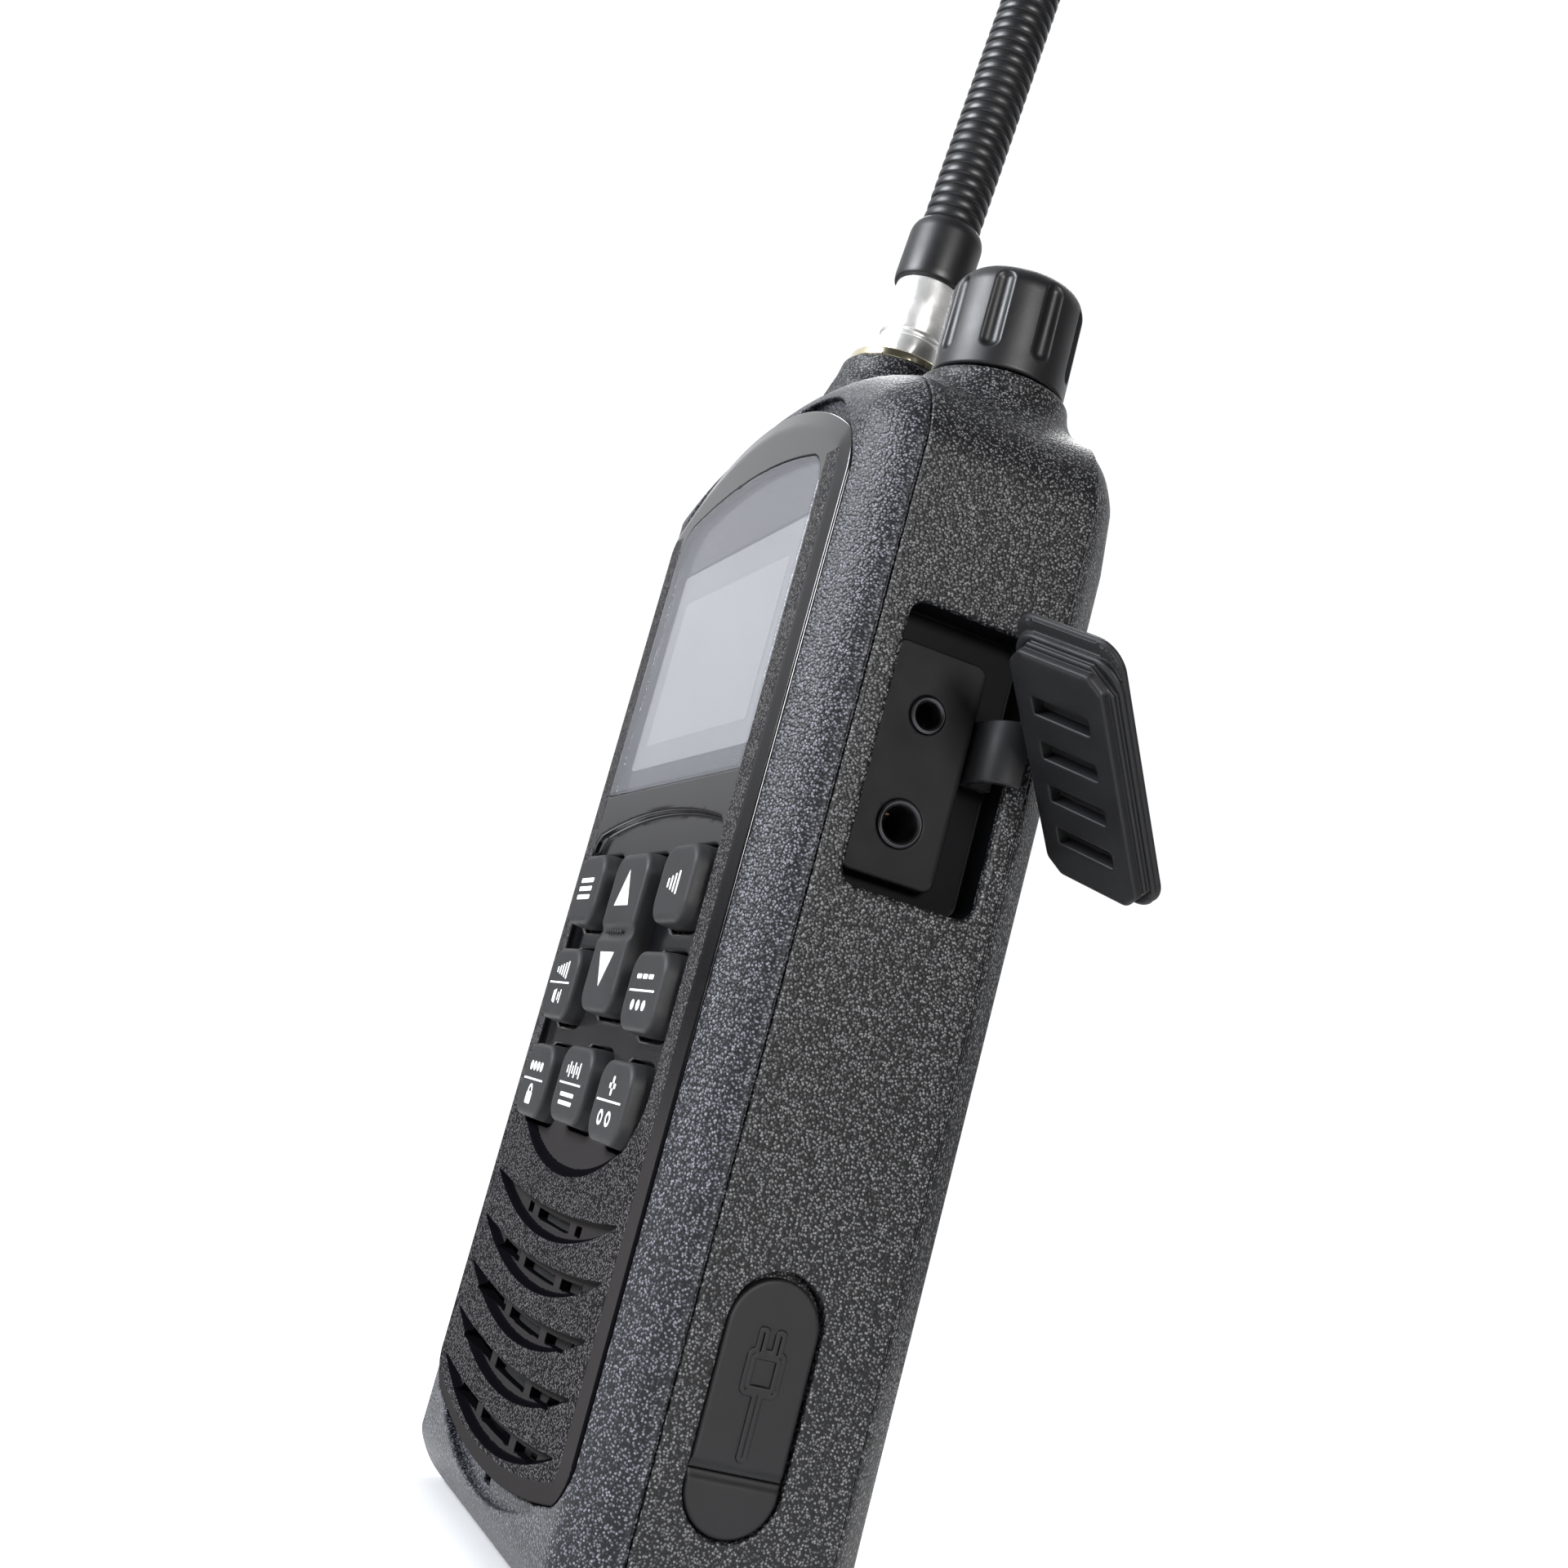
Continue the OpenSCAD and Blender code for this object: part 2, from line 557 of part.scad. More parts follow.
module battery_case() color("#313235") difference() {
    union() {
        intersection() {
            hull() {
                body_slice(y_seam + 0.35, 0.35);
                body_slice(22.6, 2.3);
                body_slice(y_back - slice, front_inset);
            }
            block([-hw, hw], [y_seam, 30], [0, pack_top]);
        }
        block([-31.3, 31.3], [y_pack, y_seam + 0.5], [2.4, pack_top - 0.4]);
    }
    block([-27, 27], [y_pack - 1, 23.8], [7.5, 88]);
    block([-29.9, 29.9], [y_pack - 1, y_pack + 1.2], [4, 94.6]);
    block([-7.3, 7.3], [22.2, 30], [88.6, pack_top + 1]);
    at_posts() y_cylinder(0, 0, 2.4, 16, y_pack + 1.2);
}
module battery_lid() color("#313235") difference() {
    block([-29.7, 29.7], [y_pack + 0.05, y_pack + 1.1], [4.2, 94.4]);
    for (x = [-5, 0, 5]) y_cylinder(x, 88.5, 1.5, 17, 20);
    at_posts() y_cylinder(0, 0, 2.5, 16, 20);
}
module battery_cells() color("#4c6f8f") for (s = [-1, 1])
    block([s * 13.4 - 13, s * 13.4 + 13], [y_pack + 1.2, 23.7], [9, 76]);
module battery_board() color("#1f5a36") {
    block([-24, 24], [20.2, 21], [77.5, 87.5]);
    for (x = [-5, 0, 5]) y_cylinder(x, 86.6, 0.9, 19.3, 20.3);
}
module battery_latch() color("#242629") {
    block([-7, 7], [22.9, 24.7], [91.4, 96.6]);
    block([-5, 5], [22.9, 24.1], [96.5, 98.9]);
    for (i = [0:3]) block([-6, 6], [24.6, 25.1], [91.8 + i * 1.2, 92.4 + i * 1.2]);
}
module latch_spring() color("#a9abae") for (x = [-4, 4]) z_cylinder(x, 23.6, 0.7, 88.7, 91.3);

// ---- belt clip

module clip_bracket() color("#26282b") difference() {
    union() {
        block([-12, 12], [y_back - 0.18, y_back + 1.1], [101, 116]);
        for (x = [-11.4, 9.2]) hull() {
            block([x, x + 2.2], [y_back + 0.9, y_back + 1.1], [103.5, 112.5]);
            x_cylinder(clip_pin_y, clip_pin_z, 2.3, x, x + 2.2, $fn = 32);
        }
    }
    x_cylinder(clip_pin_y, clip_pin_z, 1.12, -20, 20);
    for (x = [-6.4, 6.4]) y_cylinder(x, 112.8, 1.1, 20, 30);
}
module clip_screws() color("#8d9094") for (x = [-6.4, 6.4]) {
    y_cylinder(x, 112.8, 1.7, y_back + 1.12, y_back + 1.9);
    y_cylinder(x, 112.8, 0.95, 22.9, y_back + 1.2);
}
module clip_pin() color("#c0c2c4") x_cylinder(clip_pin_y, clip_pin_z, 1.1, -11.9, 11.9);
module clip_spring() color("#a9abae") for (x = [-6.9, 3.3]) difference() {
    x_cylinder(clip_pin_y, clip_pin_z, 2, x, x + 3.6);
    x_cylinder(clip_pin_y, clip_pin_z, 1.4, x - 1, x + 5);
}
module belt_clip() color("#26282b") difference() {
    union() {
        x_cylinder(clip_pin_y, clip_pin_z, 2.4, -8.8, 8.8);
        block([-8.8, 8.8], [29.8, 31.6], [56, 119]);
        block([-8.8, 8.8], [28.2, 29.9], [50, 57.5]);
        block([-8.8, 8.8], [29.8, 31.2], [50, 56.1]);
    }
    x_cylinder(clip_pin_y, clip_pin_z, 1.15, -20, 20);
    for (x = [-7.2, 3]) x_cylinder(clip_pin_y, clip_pin_z, 2.3, x, x + 4.2);
}

front_cover();
front_panel();
display_lens();
display_module();
keypad_mat();
key_1_left();
key_1_right();
key_rocker();
key_2_left();
key_2_right();
key_3_left();
key_3_middle();
key_3_right();
speaker();
speaker_felt();
microphone();
control_board();
main_board();
shield_can();
chassis();
side_switch_board();
rear_shell();
case_gasket();
case_screws();
board_screws();
terminal_block();
jack_plate();
jack_barrel_large();
jack_barrel_small();
jack_cover();
jack_cover_strap();
strap_toe();
usb_socket();
usb_cover();
usb_cover_root();
volume_pot();
pot_nut();
volume_shaft();
volume_knob();
antenna_socket();
antenna_washer();
antenna_sleeve();
antenna_collar();
antenna_whip();
antenna_cap();
ptt_button();
side_key_upper();
side_key_lower();
battery_case();
battery_lid();
battery_cells();
battery_board();
battery_latch();
latch_spring();
clip_bracket();
clip_screws();
belt_clip();
clip_pin();
clip_spring();
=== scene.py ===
"""Looks of the handheld two-way radio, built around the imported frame."""
import json
import math

import bmesh
import bpy
import numpy as np
import openvdb as vdb
from mathutils import Matrix, Vector

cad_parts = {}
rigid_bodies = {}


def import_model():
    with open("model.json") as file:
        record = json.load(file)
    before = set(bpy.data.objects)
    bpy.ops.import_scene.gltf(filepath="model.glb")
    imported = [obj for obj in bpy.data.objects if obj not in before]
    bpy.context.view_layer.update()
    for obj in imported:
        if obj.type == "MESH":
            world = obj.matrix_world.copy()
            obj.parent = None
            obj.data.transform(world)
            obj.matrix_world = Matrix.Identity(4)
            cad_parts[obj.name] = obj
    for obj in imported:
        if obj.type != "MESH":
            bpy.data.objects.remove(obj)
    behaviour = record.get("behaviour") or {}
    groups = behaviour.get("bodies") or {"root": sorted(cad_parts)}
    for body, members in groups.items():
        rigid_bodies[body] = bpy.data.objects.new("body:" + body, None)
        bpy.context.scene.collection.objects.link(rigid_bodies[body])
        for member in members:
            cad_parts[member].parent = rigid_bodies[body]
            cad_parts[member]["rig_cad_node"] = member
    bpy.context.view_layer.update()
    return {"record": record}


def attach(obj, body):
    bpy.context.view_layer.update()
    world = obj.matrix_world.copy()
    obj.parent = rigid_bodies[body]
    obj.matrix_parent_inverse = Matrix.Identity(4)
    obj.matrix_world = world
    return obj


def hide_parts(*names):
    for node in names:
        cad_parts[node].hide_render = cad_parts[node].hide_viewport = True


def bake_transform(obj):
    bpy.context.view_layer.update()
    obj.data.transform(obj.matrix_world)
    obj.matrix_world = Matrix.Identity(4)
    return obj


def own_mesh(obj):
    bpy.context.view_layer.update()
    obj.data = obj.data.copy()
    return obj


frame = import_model()

MM = 0.001
scene = bpy.context.scene

# ---- dimensions (mm)
HALF_W, HEIGHT = 33.7, 130.0
Y_FRONT, Y_FACE, Y_BACK = -5.1, -5.75, 25.1
Y_SEAM, PACK_TOP = 19.8, 97.0
PANEL_HALF = 28.05
LENS_HALF = 22.5
ROW_Z = (69.8, 58.6, 47.3)
ROW_X = (16.0, 15.6, 14.9)
ROW_W = (10.2, 11.0, 10.6)
KEY_H, KEY_TOP, KEY_GAP = 8.6, -7.1, 0.3
ROCKER_Z, ROCKER_W, ROCKER_H = 64.7, 11.6, 18.0
LOUVRE_Z, LOUVRE_PITCH = 34.0, 5.37
LOUVRE_TOP_R, LOUVRE_LOW_R = 190.0, 66.0
SLOT_REACH = (10.4, 15.8, 18.1, 18.3, 16.2)
KNOB = (20.0, 11.6)
BOSS_TOP = 129.5
KNOB_R, KNOB_H = 7.3, 12.5
JACK_Y = 8.5
JACKS = ((80.0, 1.8, 2.35), (91.1, 1.3, 1.85))
PLATE_X, RECESS_X = HALF_W - 2.34, HALF_W - 4.5
USB_Y, USB_Z, USB_W, USB_H, USB_HINGE = 8.15, 24.4, 9.3, 23.4, 18.4
ANT_BASE = Vector((1.0, 7.4, 135.2))
ANT_LEAN = math.radians(4)
WHIP_L = 150.0
SWING_AXIS = Vector((0.5, -0.146, 0.853)).normalized()
SWING_POINT = Vector((36.0, 17.7, 87.2))
COVER_CLEAR, COVER_LIFT, COVER_OPEN = 2.6, 3.4, math.radians(114)
COVER_Y, COVER_Z, COVER_TAB = (3.3, 17.1), (73.0, 100.8), 1.8
PTT_Y, PTT_Z = 9.2, 88.0
SIDE_KEY_Z = (108.8, 67.2)
CLIP_PIN = (29.4, 108.0)
SCREW_X, SCREW_Z = 26.9, (7.6, 110.0)
SHARP_ANGLE = math.radians(32)

# ---- camera
CAMERA_AT = Vector((0.1973, -0.0639, 0.0486))
CAMERA_RIGHT = Vector((0.371, 0.892, 0.259))
CAMERA_UP = Vector((0.070, -0.305, 0.950))
camera_data = bpy.data.cameras.new("camera")
camera_data.lens, camera_data.sensor_width = 43.63, 36.0
camera_data.clip_start, camera_data.clip_end = 0.005, 30.0
camera = bpy.data.objects.new("camera", camera_data)
scene.collection.objects.link(camera)
right = CAMERA_RIGHT.normalized()
up = (CAMERA_UP - right * CAMERA_UP.dot(right)).normalized()
back = right.cross(up)
turn = Matrix((right, up, back)).transposed().to_4x4()
camera.matrix_world = Matrix.Translation(CAMERA_AT) @ turn
scene.camera = camera


# ---- distance fields
def round_max(a, b, r):
    """Intersection of two fields with an outer corner of radius r."""
    return (np.hypot(np.maximum(a + r, 0), np.maximum(b + r, 0)) - r
            + np.minimum(np.maximum(a + r, b + r), 0))


def smooth_min(a, b, k):
    h = np.maximum(k - np.abs(a - b), 0) / k
    return np.minimum(a, b) - h * h * k * 0.25


def smooth_max(a, b, k):
    return -smooth_min(-a, -b, k)


def cut(d, tool, k=0.0):
    """d without the tool's shape, its new edge smoothed over k."""
    return smooth_max(d, -tool, k) if k else np.maximum(d, -tool)


def rect(u, v, half_u, half_v, r):
    """Rounded rectangle about the origin."""
    a, b = np.abs(u) - half_u + r, np.abs(v) - half_v + r
    return np.hypot(np.maximum(a, 0), np.maximum(b, 0)) + np.minimum(np.maximum(a, b), 0) - r


def block(x, y, z, lo, hi, r):
    """Rounded block between two corners."""
    a = np.abs(x - (lo[0] + hi[0]) / 2) - (hi[0] - lo[0]) / 2 + r
    b = np.abs(y - (lo[1] + hi[1]) / 2) - (hi[1] - lo[1]) / 2 + r
    c = np.abs(z - (lo[2] + hi[2]) / 2) - (hi[2] - lo[2]) / 2 + r
    out = np.sqrt(np.maximum(a, 0) ** 2 + np.maximum(b, 0) ** 2 + np.maximum(c, 0) ** 2)
    return out + np.minimum(np.maximum(np.maximum(a, b), c), 0) - r


def rod(u, v, w, r, w0, w1, edge=0.3):
    """Cylinder along w with rounded rims."""
    return round_max(np.hypot(u, v) - r, np.abs(w - (w0 + w1) / 2) - (w1 - w0) / 2, edge)


def slope(u, v, p, q):
    """Distance to the line from p to q, positive on its left."""
    du, dv = q[0] - p[0], q[1] - p[1]
    length = math.hypot(du, dv)
    return ((v - p[1]) * du - (u - p[0]) * dv) / length


def arched(x, z, half, bottom, top, r_low, r_high, arch):
    side = np.abs(x) - half
    low = round_max(side, bottom - z, r_low)
    high = round_max(side, np.hypot(x, np.maximum(z - (top - arch), 0)) - arch, r_high)
    return np.maximum(low, high)


def body2(x, z):
    return arched(x, z, HALF_W, 0.0, HEIGHT, 6.0, 6.0, 80.5)


def panel2(x, z):
    side = np.abs(x) - PANEL_HALF
    low = round_max(side, np.hypot(x, np.minimum(z - 113.4, 0)) - 105.3, 3.6)
    high = round_max(side, np.hypot(x, np.maximum(z - 73.8, 0)) - 51.0, 3.2)
    return np.maximum(low, high)


def lens2(x, z):
    return arched(x, z, LENS_HALF, 81.9, 118.2, 0.6, 4.0, 92.0)


def keypad2(x, z):
    wide, tall, mid = LENS_HALF, 10.6, 49.0
    dz = np.minimum(z - mid, 0)
    q = np.hypot(x / wide, dz / tall)
    grad = np.hypot(x / wide ** 2, dz / tall ** 2)
    bowl = (q - 1) * q / np.maximum(grad, 1e-4)
    side = np.where(z > mid, np.abs(x) - wide, np.minimum(bowl, 30))
    return round_max(side, np.hypot(x, z + 46.4) - 125.0, 2.0)


def outer_slope(u, y):
    """Stepped bevel of the front cover: u is the outline's field."""
    first = slope(u, y, (0.0, -0.4), (-2.2, -3.0))
    second = slope(u, y, (-2.2, -3.0), (-5.46, Y_FRONT))
    return smooth_max(smooth_max(u, first, 1.1), second, 0.5)


def rear_slope(u, y):
    first = -slope(u, y, (-0.35, 20.2), (-2.2, 22.5))
    second = -slope(u, y, (-2.2, 22.5), (-5.46, Y_BACK))
    return smooth_max(smooth_max(u + 0.35, first, 1.6), second, 1.8)


# ---- meshing
BLOCK = 16
made = []


def new_object(name, mesh, material, body, replaced=(), slot=None):
    obj = bpy.data.objects.new(name, mesh)
    scene.collection.objects.link(obj)
    mesh.materials.append(material)
    if body:
        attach(obj, body)
    if replaced:
        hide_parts(*replaced)
    made.append(obj)
    return obj


def field_mesh(name, field, low, high, voxel, adaptivity=0.01, place=None):
    """Meshes the zero surface of a field in millimetres, with its points set on the surface."""
    low = np.array(low, np.float64) - 2.6 * voxel
    high = np.array(high, np.float64) + 2.6 * voxel
    edge = voxel * BLOCK
    counts = np.ceil((high - low) / edge).astype(int)
    corners = np.stack(np.meshgrid(*[np.arange(c) for c in counts], indexing="ij"), -1)
    corners = corners.reshape(-1, 3)
    middle = low + (corners * BLOCK + (BLOCK - 1) / 2) * voxel
    coarse = field(middle[:, 0], middle[:, 1], middle[:, 2])
    reach = edge * 0.5 * math.sqrt(3) + 0.25
    band = 3 * voxel
    grid = vdb.FloatGrid(band)
    for c in corners[coarse <= -reach]:
        a = c * BLOCK
        grid.fill(tuple(int(v) for v in a), tuple(int(v) for v in a + BLOCK - 1), -band, False)
    near = corners[np.abs(coarse) < reach]
    steps = np.arange(BLOCK)
    for start in range(0, len(near), 96):
        some = near[start:start + 96]
        at = [(low[i] + (some[:, i, None] * BLOCK + steps) * voxel).astype(np.float32)
              for i in range(3)]
        values = field(at[0][:, :, None, None], at[1][:, None, :, None], at[2][:, None, None, :])
        values = np.clip(np.broadcast_to(values, (len(some),) + (BLOCK,) * 3), -band, band)
        for c, v in zip(some, values):
            grid.copyFromArray(np.ascontiguousarray(v, dtype=np.float32),
                               ijk=tuple(int(k) for k in c * BLOCK))
    points, tris, quads = grid.convertToPolygons(isovalue=0.0, adaptivity=adaptivity)
    points = low + points.astype(np.float64) * voxel
    h = voxel * 0.3
    for _ in range(2):
        grad = np.stack([field(*(points + d).T) - field(*(points - d).T)
                         for d in np.eye(3) * h], 1)
        grad /= np.maximum(np.linalg.norm(grad, axis=1, keepdims=True), 1e-9)
        step = np.clip(field(*points.T), -voxel * 0.4, voxel * 0.4)
        points = points - grad * step[:, None]
    faces = [tris, quads] if len(tris) else [quads]
    a, b, c = (points[faces[-1][:, i]] for i in (0, 1, 2))
    outward = np.einsum("ij,ij->i", np.cross(b - a, c - a), grad[faces[-1][:, 0]]).sum()
    if outward < 0:
        faces = [f[:, ::-1] for f in faces]
    if place is not None:
        turned = np.array(place.to_3x3())
        points = points @ turned.T + np.array(place.translation)
        grad = grad @ turned.T
    mesh = bpy.data.meshes.new(name)
    mesh.vertices.add(len(points))
    mesh.vertices.foreach_set("co", (points * MM).astype(np.float32).ravel())
    index = np.concatenate([f.ravel() for f in faces])
    total = np.concatenate([np.full(len(f), f.shape[1]) for f in faces])
    mesh.loops.add(len(index))
    mesh.loops.foreach_set("vertex_index", index.astype(np.int32))
    mesh.polygons.add(len(total))
    starts = np.concatenate([[0], np.cumsum(total)[:-1]])
    mesh.polygons.foreach_set("loop_start", starts.astype(np.int32))
    mesh.update(calc_edges=True)
    mesh.validate()
    mesh.polygons.foreach_set("use_smooth", np.ones(len(mesh.polygons), bool))
    if len(mesh.vertices) == len(grad):
        mesh.normals_split_custom_set_from_vertices(grad.astype(np.float32))
    mesh.update()
    return mesh


def carve(name, field, low, high, voxel, *looks, adaptivity=0.01, place=None):
    """A piece from a field; looks are its material, body, replaced nodes and slot (the slot is not used)."""
    return new_object(name, field_mesh(name, field, low, high, voxel, adaptivity, place), *looks)


def close_mesh(bm, name, place=None):
    """Ends a mesh made in millimetres, placed and scaled to metres."""
    if place is not None:
        bm.transform(place)
    bm.transform(Matrix.Scale(MM, 4))
    mesh = bpy.data.meshes.new(name)
    bm.to_mesh(mesh)
    bm.free()
    return mesh


def sweep(bm, rings):
    """A closed tube through rings of points."""
    rings = [[bm.verts.new(p) for p in row] for row in rings]
    m = len(rings[0])
    for a, b in zip(rings, rings[1:]):
        for i in range(m):
            bm.faces.new((a[i], a[(i + 1) % m], b[(i + 1) % m], b[i])).smooth = True
    bm.faces.new(rings[0][::-1])
    bm.faces.new(rings[-1])


def lathe_mesh(name, profile, segments=96, place=None):
    """Turns a closed profile of (radius, height) about z."""
    bm = bmesh.new()
    rings = []
    for r, z in profile:
        if r < 1e-6:
            rings.append([bm.verts.new((0, 0, z))])
        else:
            rings.append([bm.verts.new((r * math.cos(2 * math.pi * i / segments),
                                        r * math.sin(2 * math.pi * i / segments), z))
                          for i in range(segments)])
    for a, b in zip(rings, rings[1:] + rings[:1]):
        if len(a) == 1 and len(b) == 1:
            continue
        for i in range(segments):
            j = (i + 1) % segments
            corners = [a[i % len(a)], a[j % len(a)], b[j % len(b)], b[i % len(b)]]
            bm.faces.new(list(dict.fromkeys(corners)))
    bmesh.ops.recalc_face_normals(bm, faces=bm.faces)
    for f in bm.faces:
        f.smooth = True
    mesh = close_mesh(bm, name, place)
    mesh.set_sharp_from_angle(angle=SHARP_ANGLE)
    return mesh


def prism_mesh(name, outlines, y0, y1):
    """Closed plates between y0 and y1 from flat outlines of (x, z)."""
    bm = bmesh.new()
    for outline in outlines:
        area = sum(p[0] * q[1] - q[0] * p[1] for p, q in zip(outline, outline[1:] + outline[:1]))
        pts = outline if area > 0 else outline[::-1]
        front = [bm.verts.new((x, y0, z)) for x, z in pts]
        rear = [bm.verts.new((x, y1, z)) for x, z in pts]
        bm.faces.new(front)
        bm.faces.new(rear[::-1])
        for i in range(len(pts)):
            j = (i + 1) % len(pts)
            bm.faces.new((front[j], front[i], rear[i], rear[j]))
    bmesh.ops.recalc_face_normals(bm, faces=bm.faces)
    return close_mesh(bm, name)


# ---- materials
class Graph:
    """Short forms for the nodes of one material."""

    def __init__(self, name):
        self.material = bpy.data.materials.new(name)
        self.material.use_nodes = True
        self.tree = self.material.node_tree
        self.shader = self.tree.nodes["Principled BSDF"]
        self.coords = self.tree.nodes.new("ShaderNodeTexCoord").outputs["Object"]

    def node(self, kind, inputs=(), **settings):
        made_node = self.tree.nodes.new(kind)
        for key, value in settings.items():
            setattr(made_node, key, value)
        for key, value in dict(inputs).items():
            if isinstance(value, bpy.types.NodeSocket):
                self.tree.links.new(value, made_node.inputs[key])
            else:
                made_node.inputs[key].default_value = value
        return made_node

    def feed(self, socket, value):
        """Links a socket or sets its value; a colour without alpha gets one."""
        if isinstance(value, bpy.types.NodeSocket):
            self.tree.links.new(value, socket)
        else:
            opaque = isinstance(value, tuple) and len(value) == 3
            socket.default_value = (*value, 1.0) if opaque else value

    def math(self, operation, a, b=0.0):
        return self.node("ShaderNodeMath", {0: a, 1: b}, operation=operation).outputs[0]

    def noise(self, scale, detail=2.0, rough=0.5, vector=None):
        return self.node("ShaderNodeTexNoise", {"Vector": vector or self.coords, "Scale": scale,
                                                "Detail": detail, "Roughness": rough}).outputs[0]

    def cells(self, scale, smooth=0.6, feature="SMOOTH_F1"):
        settings = {"feature": feature}
        inputs = {"Vector": self.coords, "Scale": scale}
        if feature == "SMOOTH_F1":
            inputs["Smoothness"] = smooth
        return self.node("ShaderNodeTexVoronoi", inputs, **settings).outputs["Distance"]

    def span(self, value, a, b, c, d):
        return self.node("ShaderNodeMapRange", {"Value": value, "From Min": a, "From Max": b,
                                                "To Min": c, "To Max": d}).outputs[0]

    def mix(self, factor, a, b):
        mixer = self.tree.nodes.new("ShaderNodeMix")
        mixer.data_type = "RGBA"
        for index, value in ((0, factor), (6, a), (7, b)):
            self.feed(mixer.inputs[index], value)
        return mixer.outputs[2]

    def set(self, **values):
        for key, value in values.items():
            self.feed(self.shader.inputs[key.replace("_", " ")], value)

    def bump(self, height, strength, distance):
        self.set(Normal=self.node("ShaderNodeBump", {"Height": height, "Strength": strength,
                                                     "Distance": distance}).outputs[0])

    def worn(self, colour, edge, amount=0.35):
        """Colour with a slow drift, and a little lighter along edges."""
        drift = self.span(self.noise(60.0, 3.0), 0.3, 0.7, 0.0, 1.0)
        darker = tuple(c * 0.82 for c in colour)
        base = self.mix(drift, darker, colour)
        point = self.tree.nodes.new("ShaderNodeNewGeometry").outputs["Pointiness"]
        rubbed = self.math("MULTIPLY", self.span(point, 0.52, 0.60, 0.0, amount),
                           self.noise(900.0, 2.0))
        return self.mix(rubbed, base, edge)


def inside(g, bounds):
    """1 where the object coordinates (mm) lie between the bounds, axis by axis."""
    parts = g.node("ShaderNodeSeparateXYZ", {0: g.coords})
    mask = 1.0
    for axis, (low, high) in bounds.items():
        value = g.math("MULTIPLY", parts.outputs[axis], 1 / MM)
        for test, limit in (("GREATER_THAN", low), ("LESS_THAN", high)):
            mask = g.math("MULTIPLY", mask, g.math(test, value, limit))
    return mask


def leather_plastic(name, colour, painted_sparkle_and_edge_wear, cell=0.42, depth=0.00007, rough=(0.34, 0.5), plain=None):
    """Pebbled plastic: small domes, many with a painted highlight dot on their crown, and smooth where plain
    says.
    """
    g = Graph(name)
    grain, level = 1.0, 0.32
    if plain:
        grain = g.math("SUBTRACT", 1.0, inside(g, plain))
        level = g.math("ADD", 0.08, g.math("MULTIPLY", grain, 0.24))
    wide = g.cells(1 / (cell * MM), 0.35)
    fine = g.noise(1 / (0.16 * MM), 2.0, 0.6)
    height = g.math("ADD", wide, g.math("MULTIPLY", fine, 0.35))
    g.bump(g.math("MULTIPLY", height, grain), 0.8, depth)
    # Painted highlights: light dots on the crowns of the domes, in noisy patches, stand in for glints of light
    # on the grain.
    painted_glint_dots = g.span(g.cells(1 / (cell * MM), feature="F1"), 0.08, 0.5, 1.0, 0.0)
    some = g.span(g.noise(1 / (0.55 * MM), 3.0, 0.8), 0.36, 0.6, 0.2, 1.0)
    painted_sparkle = g.math("MULTIPLY", g.math("MULTIPLY", painted_glint_dots, some), grain)
    # The base colour takes the painted sparkle colour on those dots; the same colour is also the lighter
    # edge-wear colour.
    g.set(Base_Color=g.mix(painted_sparkle, g.worn(colour, painted_sparkle_and_edge_wear, 0.15), painted_sparkle_and_edge_wear),
          Roughness=g.span(fine, 0.3, 0.7, *rough), Specular_IOR_Level=level)
    return g.material


def satin(name, colour, edge, rough=(0.42, 0.58), grain=0.12, depth=0.00001, strength=0.4, spec=0.45):
    g = Graph(name)
    fine = g.noise(1 / (grain * MM), 3.0, 0.6)
    slow = g.noise(180.0, 3.0, 0.55)
    g.bump(fine, strength, depth)
    g.set(Base_Color=g.worn(colour, edge), Roughness=g.span(slow, 0.3, 0.7, *rough),
          Specular_IOR_Level=spec)
    return g.material


def metal(name, colour, rough, metallic=1.0):
    g = Graph(name)
    g.bump(g.noise(1 / (0.2 * MM), 3.0, 0.6), 0.25, 0.000003)
    drift = g.span(g.noise(150.0, 3.0), 0.3, 0.7, 0.0, 1.0)
    g.set(Base_Color=g.mix(drift, tuple(c * 0.88 for c in colour), colour), Metallic=metallic,
          Roughness=g.span(g.noise(400.0, 2.0), 0.3, 0.7, rough * 0.7, rough * 1.4))
    return g.material


